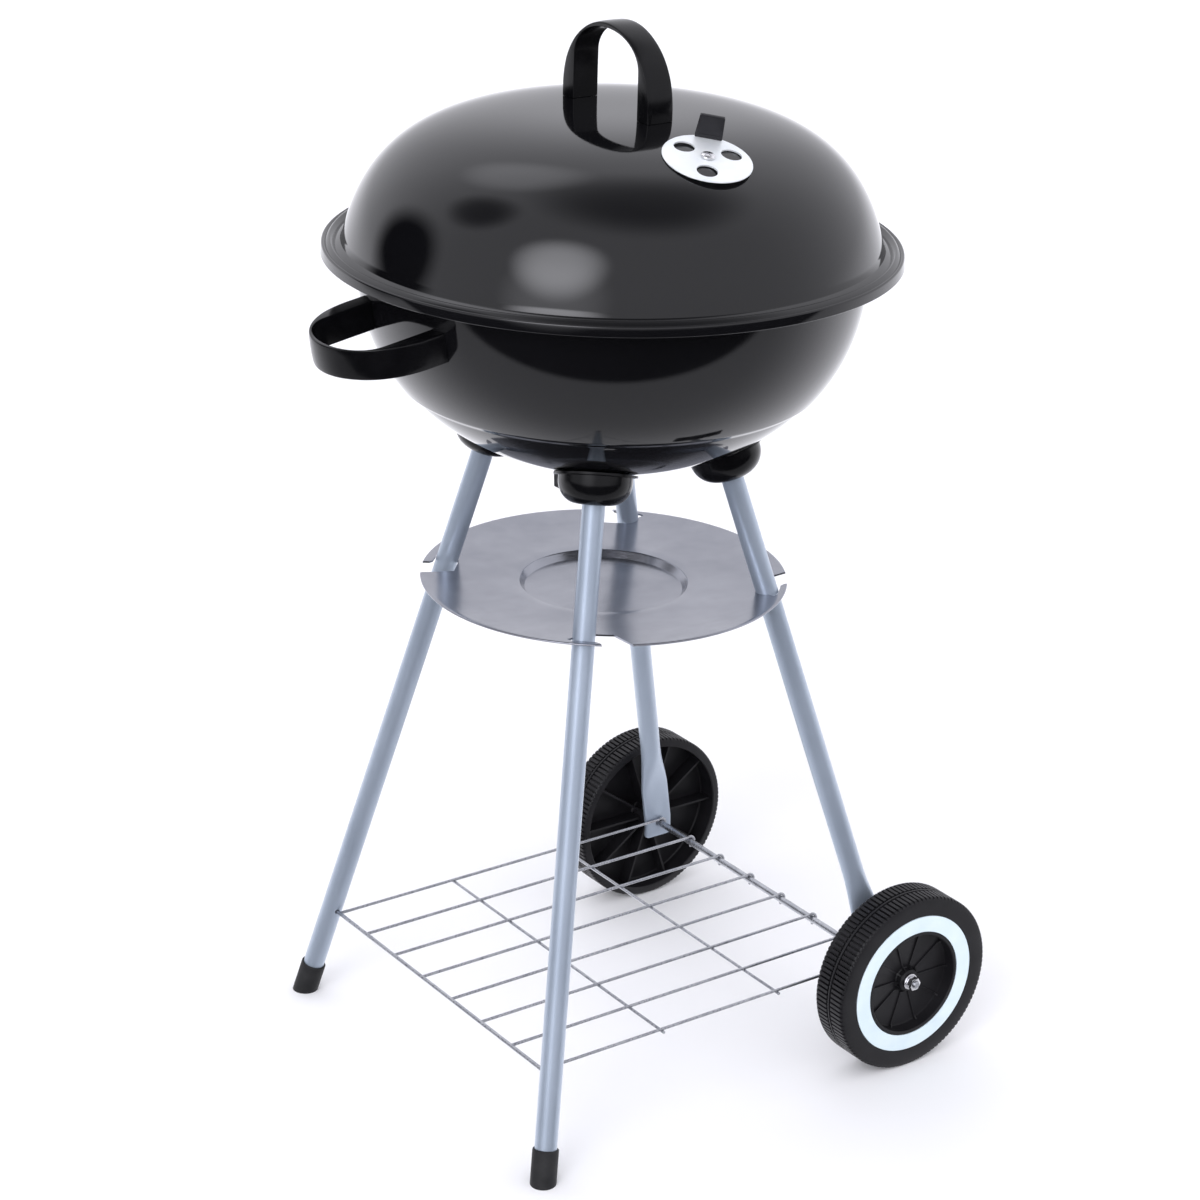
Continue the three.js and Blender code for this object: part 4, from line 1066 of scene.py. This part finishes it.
def wheel_profile():
    """(radius, z, how far the tread's slots cut there) round a wheel's section, outer face at +z."""
    half, seat, r = WHEEL_HALF, WHEEL_HALF - 1 - GAP, WHEEL_R
    hub = [(AXLE_R + GAP, 12), (8.8, 12), (9.8, 11), (10, WEB[1] + 0.8), (10.8, WEB[1])]
    rim = [(42.6, WEB[1]), (43.7, WEB[1] + 0.6), (44, WEB[1] + 2), (44, half - 0.8), (44.8, half),
           (RING_IN - GAP - 0.6, half), (RING_IN - GAP, half - 0.6), (RING_IN - GAP, seat),
           (RING_OUT + GAP, seat), (RING_OUT + GAP, half - 0.5), (RING_OUT + GAP + 0.5, half)]
    front = [(*p, 0) for p in [*hub, *rim]]
    wall = [(RING_OUT + 4, half, 0), (r - 8, half, 0), (r - 4.6, half - 0.25, 0)]
    shoulder = 2.6
    corner = [(r - shoulder + shoulder * math.sin(a), half - 0.4 - shoulder + shoulder * math.cos(a),
               0.55 * math.sin(a)) for a in np.linspace(0.25, math.pi / 2, 7)]
    rib, groove = TREAD["rib"], TREAD["groove"]
    tread = [(r, z, 1) for z in (half - 4.2, half - 8, rib + groove + 0.3)]
    deep = r - 1.6
    middle = [(deep, rib + groove, 0.3), (deep, rib + 0.3, 0.3), (r - 0.2, rib, 0), (r, rib - 0.3, 0)]
    outer_half = [*corner, *tread, *middle]
    mirrored = [(radius, -z, cut) for radius, z, cut in reversed(outer_half)]
    web, end = WEB[0], -half - 1.5
    back = [(r - 4.6, -half + 0.25, 0), (r - 7, -half, 0), (r - 8, -half + 0.8, 0), (r - 8, web - 1, 0),
            (r - 9, web, 0), (11, web, 0), (10, web - 1, 0), (10, end + 0.6, 0), (9.4, end, 0),
            (AXLE_R + GAP, end, 0)]
    return [*front, *wall, *outer_half, *mirrored, *back]


def wheel_solid():
    slot, edge = TREAD["slot"], 0.06
    shares = (0, edge, slot - edge, slot, 0.67)
    cut_at = (0, 1, 1, 0, 0)
    profile = wheel_profile()
    points = []
    angles = [(2 * math.pi * (lug + share) / TREAD["lugs"], cut)
              for lug in range(TREAD["lugs"]) for share, cut in zip(shares, cut_at)]
    for radius, z, weight in profile:
        for a, cut in angles:
            r = radius - TREAD["depth"] * weight * cut
            points.append((r * math.cos(a), r * math.sin(a), z))
    rows, columns = len(profile), len(angles)
    faces = []
    for k in range(rows):
        for j in range(columns):
            low, high = k * columns, ((k + 1) % rows) * columns
            n = (j + 1) % columns
            faces.append((low + j, low + n, high + n, high + j))
    ribs, hub = [], 9.6
    for i in range(WHEEL_RIBS):
        turn = Matrix.Rotation(2 * math.pi * i / WHEEL_RIBS, 4, "Z")
        back = plate([(hub, -11.5), (WHEEL_R - 7.6, -11.5), (WHEEL_R - 7.6, WEB[0] + 0.5),
                      (hub, WEB[0] + 0.5)], -1, 1)
        front = plate([(hub, WEB[1] - 0.5), (44.6, WEB[1] - 0.5), (44.6, 9.5), (42.6, 7.6),
                       (40.8, WEB[1] + 1.3), (12.6, WEB[1] + 1.0), (hub, 10.8)], -0.6, 0.6)
        upright = matrix_at((0, 0, 0), (1, 0, 0), (0, 0, 1), (0, -1, 0))
        ribs += [back.moved(turn @ upright), front.moved(turn @ upright)]
    return carve(Solid(points, faces), add=[joined(ribs)])


def build_wheels():
    half, ring_t, edge = WHEEL_HALF, 1, 0.25
    ring = turned([(RING_IN, half - ring_t), (RING_OUT, half - ring_t), (RING_OUT, half - edge),
                   (RING_OUT - edge, half), (RING_IN + edge, half), (RING_IN, half - edge)], ROUND)
    inner_washer = washer(AXLE_R + GAP, 8, -half - 3.8, -half - 1.9)
    outer_washer = washer(AXLE_R + GAP, 7, 12.3, 13.5)
    nut = hex_nut(WHEEL_NUT_FLATS, WHEEL_NUT_H, AXLE_R + GAP).moved(Matrix.Translation((0, 0, 16.6)))
    parts = {"wheel": (wheel_solid(), WHEEL), "wheel_ring": (ring, RING),
             "inner_washer": (inner_washer, PLATED), "outer_washer": (outer_washer, PLATED),
             "wheel_nut": (nut, PLATED)}
    for side, hand in ((1, "left"), (-1, "right")):
        centre = Vector((AXLE.x, side * WHEEL_Y, AXLE.z))
        place = matrix_at(centre, (1, 0, 0), (0, 0, -side), (0, side, 0))
        for name, (solid, finished) in parts.items():
            piece(f"{name}_{hand}", solid.moved(place), finished)
    reach = AXLE_HI.y
    shaft = rod((AXLE.x, -reach, AXLE.z), (AXLE.x, reach, AXLE.z), AXLE_R, bevel=0.7)
    piece("axle", shaft, WIRE)


build_kettle()
build_grates()
build_legs()
build_ash_catcher()
build_shelf()
build_wheels()

# ---------------- floor, light and camera


CAMERA = {"azimuth": -35.81, "elevation": 22.2, "roll": 1.577, "distance": 2.558,
          "across": -0.0024, "height": 0.3936, "lens": 94.2}

# The studio round the object. What lights matt surfaces is even, but for the soft windows and flags.
# What glossy surfaces mirror runs from the level in front to the level behind, above and below the
# horizon, and turns dark past the front edge of a white table.
FLOOR_REACH = 40.0       # metres
EVEN_LIGHT = 1.3
FRONT_TO_BACK = (-0.3, 0.6)
SKY_MIRRORED = (0.92, 1.12)
TABLE_MIRRORED = (0.7, 1.45)
TABLE_REACH = 1.06       # from the kettle to the table's front edge, over the kettle's height above it

# Soft windows and flags: degrees above the horizon, degrees to the right of straight ahead of the
# main view, half width in degrees, and how much they add.
SOFT_LIGHTS = {"window": (33, -155, 22, 3.9), "window_tail": (14, -156, 26, 0.9),
               "left_flag": (10, -79, 24, -1.3), "top_flag": (82, 90, 34, -0.75),
               "upper_left_flag": (50, -90, 16, -0.8), "back_top": (58, -35, 16, 0.8),
               "back": (20, 0, 40, -0.15)}


def build_floor():
    """A wide pale floor that reaches the horizon of every view."""
    data = bpy.data.meshes.new("studio_floor")
    reach = FLOOR_REACH
    data.from_pydata([(-reach, -reach, 0), (reach, -reach, 0), (reach, reach, 0), (-reach, reach, 0)],
                     [], [(0, 1, 2, 3)])
    obj = bpy.data.objects.new("studio_floor", data)
    bpy.context.scene.collection.objects.link(obj)
    obj.data.materials.append(FLOOR[0])
    obj.visible_glossy = False


def heading(azimuth):
    """A level direction, in degrees to the right of straight ahead of the main view."""
    return polar(1, 90 + CAMERA["azimuth"] - azimuth)


def build_light():
    """A pale surround with broad soft windows and flags in it, fixed in the frame's axes."""
    world = bpy.data.worlds.new("studio")
    world.use_nodes = True
    tree = world.node_tree
    surround = tree.nodes["Background"]
    surround.inputs["Color"].default_value = (1, 1, 1.06, 1)
    bpy.context.scene.world = world
    direction = tree.nodes.new("ShaderNodeTexCoord").outputs["Generated"]

    def put(value, socket):
        if isinstance(value, bpy.types.NodeSocket):
            tree.links.new(value, socket)
        else:
            socket.default_value = value

    def along_axis(axis):
        made = tree.nodes.new("ShaderNodeVectorMath")
        made.operation = "DOT_PRODUCT"
        made.inputs[1].default_value = axis
        put(direction, made.inputs[0])
        return made.outputs["Value"]

    def eased(value, start, end, low, high):
        made = tree.nodes.new("ShaderNodeMapRange")
        made.interpolation_type = "SMOOTHSTEP"
        for key, number in zip(("Value", "From Min", "From Max", "To Min", "To Max"),
                               (value, start, end, low, high)):
            put(number, made.inputs[key])
        return made.outputs["Result"]

    def sum_of(operation, first, second):
        made = tree.nodes.new("ShaderNodeMath")
        made.operation = operation
        put(first, made.inputs[0])
        put(second, made.inputs[1])
        return made.outputs["Value"]

    def mixed(factor, first, second):
        made = tree.nodes.new("ShaderNodeMix")
        for index, value in enumerate((factor, first, second)):
            put(value, made.inputs[(0, 2, 3)[index]])
        return made.outputs[0]

    rise, behind = along_axis(UP), along_axis(heading(0))
    sky = eased(behind, *FRONT_TO_BACK, *SKY_MIRRORED)
    table = eased(behind, *FRONT_TO_BACK, *TABLE_MIRRORED)
    past_edge = along_axis(UP * TABLE_REACH - heading(0))
    lit = sum_of("MAXIMUM", eased(past_edge, -0.08, 0.02, 1, 0.02), eased(rise, -0.06, 0.02, 0, 1))
    mirrored = sum_of("MULTIPLY", mixed(eased(rise, -0.1, 0.1, 0, 1), table, sky), lit)
    rays = tree.nodes.new("ShaderNodeLightPath").outputs
    total = mixed(rays["Is Glossy Ray"], EVEN_LIGHT, mirrored)
    for elevation, azimuth, half_width, strength in SOFT_LIGHTS.values():
        tilt = math.radians(elevation)
        toward = heading(azimuth) * math.cos(tilt) + UP * math.sin(tilt)
        lobe = eased(along_axis(toward), math.cos(math.radians(half_width)), 1, 0, strength)
        total = sum_of("ADD", total, lobe)
    seen = mixed(rays["Is Camera Ray"], sum_of("MAXIMUM", total, 0), EVEN_LIGHT)
    put(seen, surround.inputs["Strength"])


def build_camera():
    """The photograph's view: round the kettle's axis, from in front and a little above."""
    azimuth, elevation, roll = (math.radians(CAMERA[k]) for k in ("azimuth", "elevation", "roll"))
    back = Vector((math.sin(azimuth) * math.cos(elevation), -math.cos(azimuth) * math.cos(elevation),
                   math.sin(elevation)))
    right = Vector((math.cos(azimuth), math.sin(azimuth), 0))
    up = back.cross(right)
    turned_right = right * math.cos(roll) + up * math.sin(roll)
    turned_up = up * math.cos(roll) - right * math.sin(roll)
    target = Vector((AXIS_X * MM, 0, CAMERA["height"])) + right * CAMERA["across"]
    data = bpy.data.cameras.new("camera")
    data.sensor_width = 36
    data.lens = CAMERA["lens"]
    camera = bpy.data.objects.new("camera", data)
    bpy.context.scene.collection.objects.link(camera)
    camera.matrix_world = matrix_at(target + back * CAMERA["distance"], turned_right, turned_up, back)
    bpy.context.scene.camera = camera


build_floor()
build_light()
build_camera()
bpy.context.scene.view_settings.view_transform = "Standard"
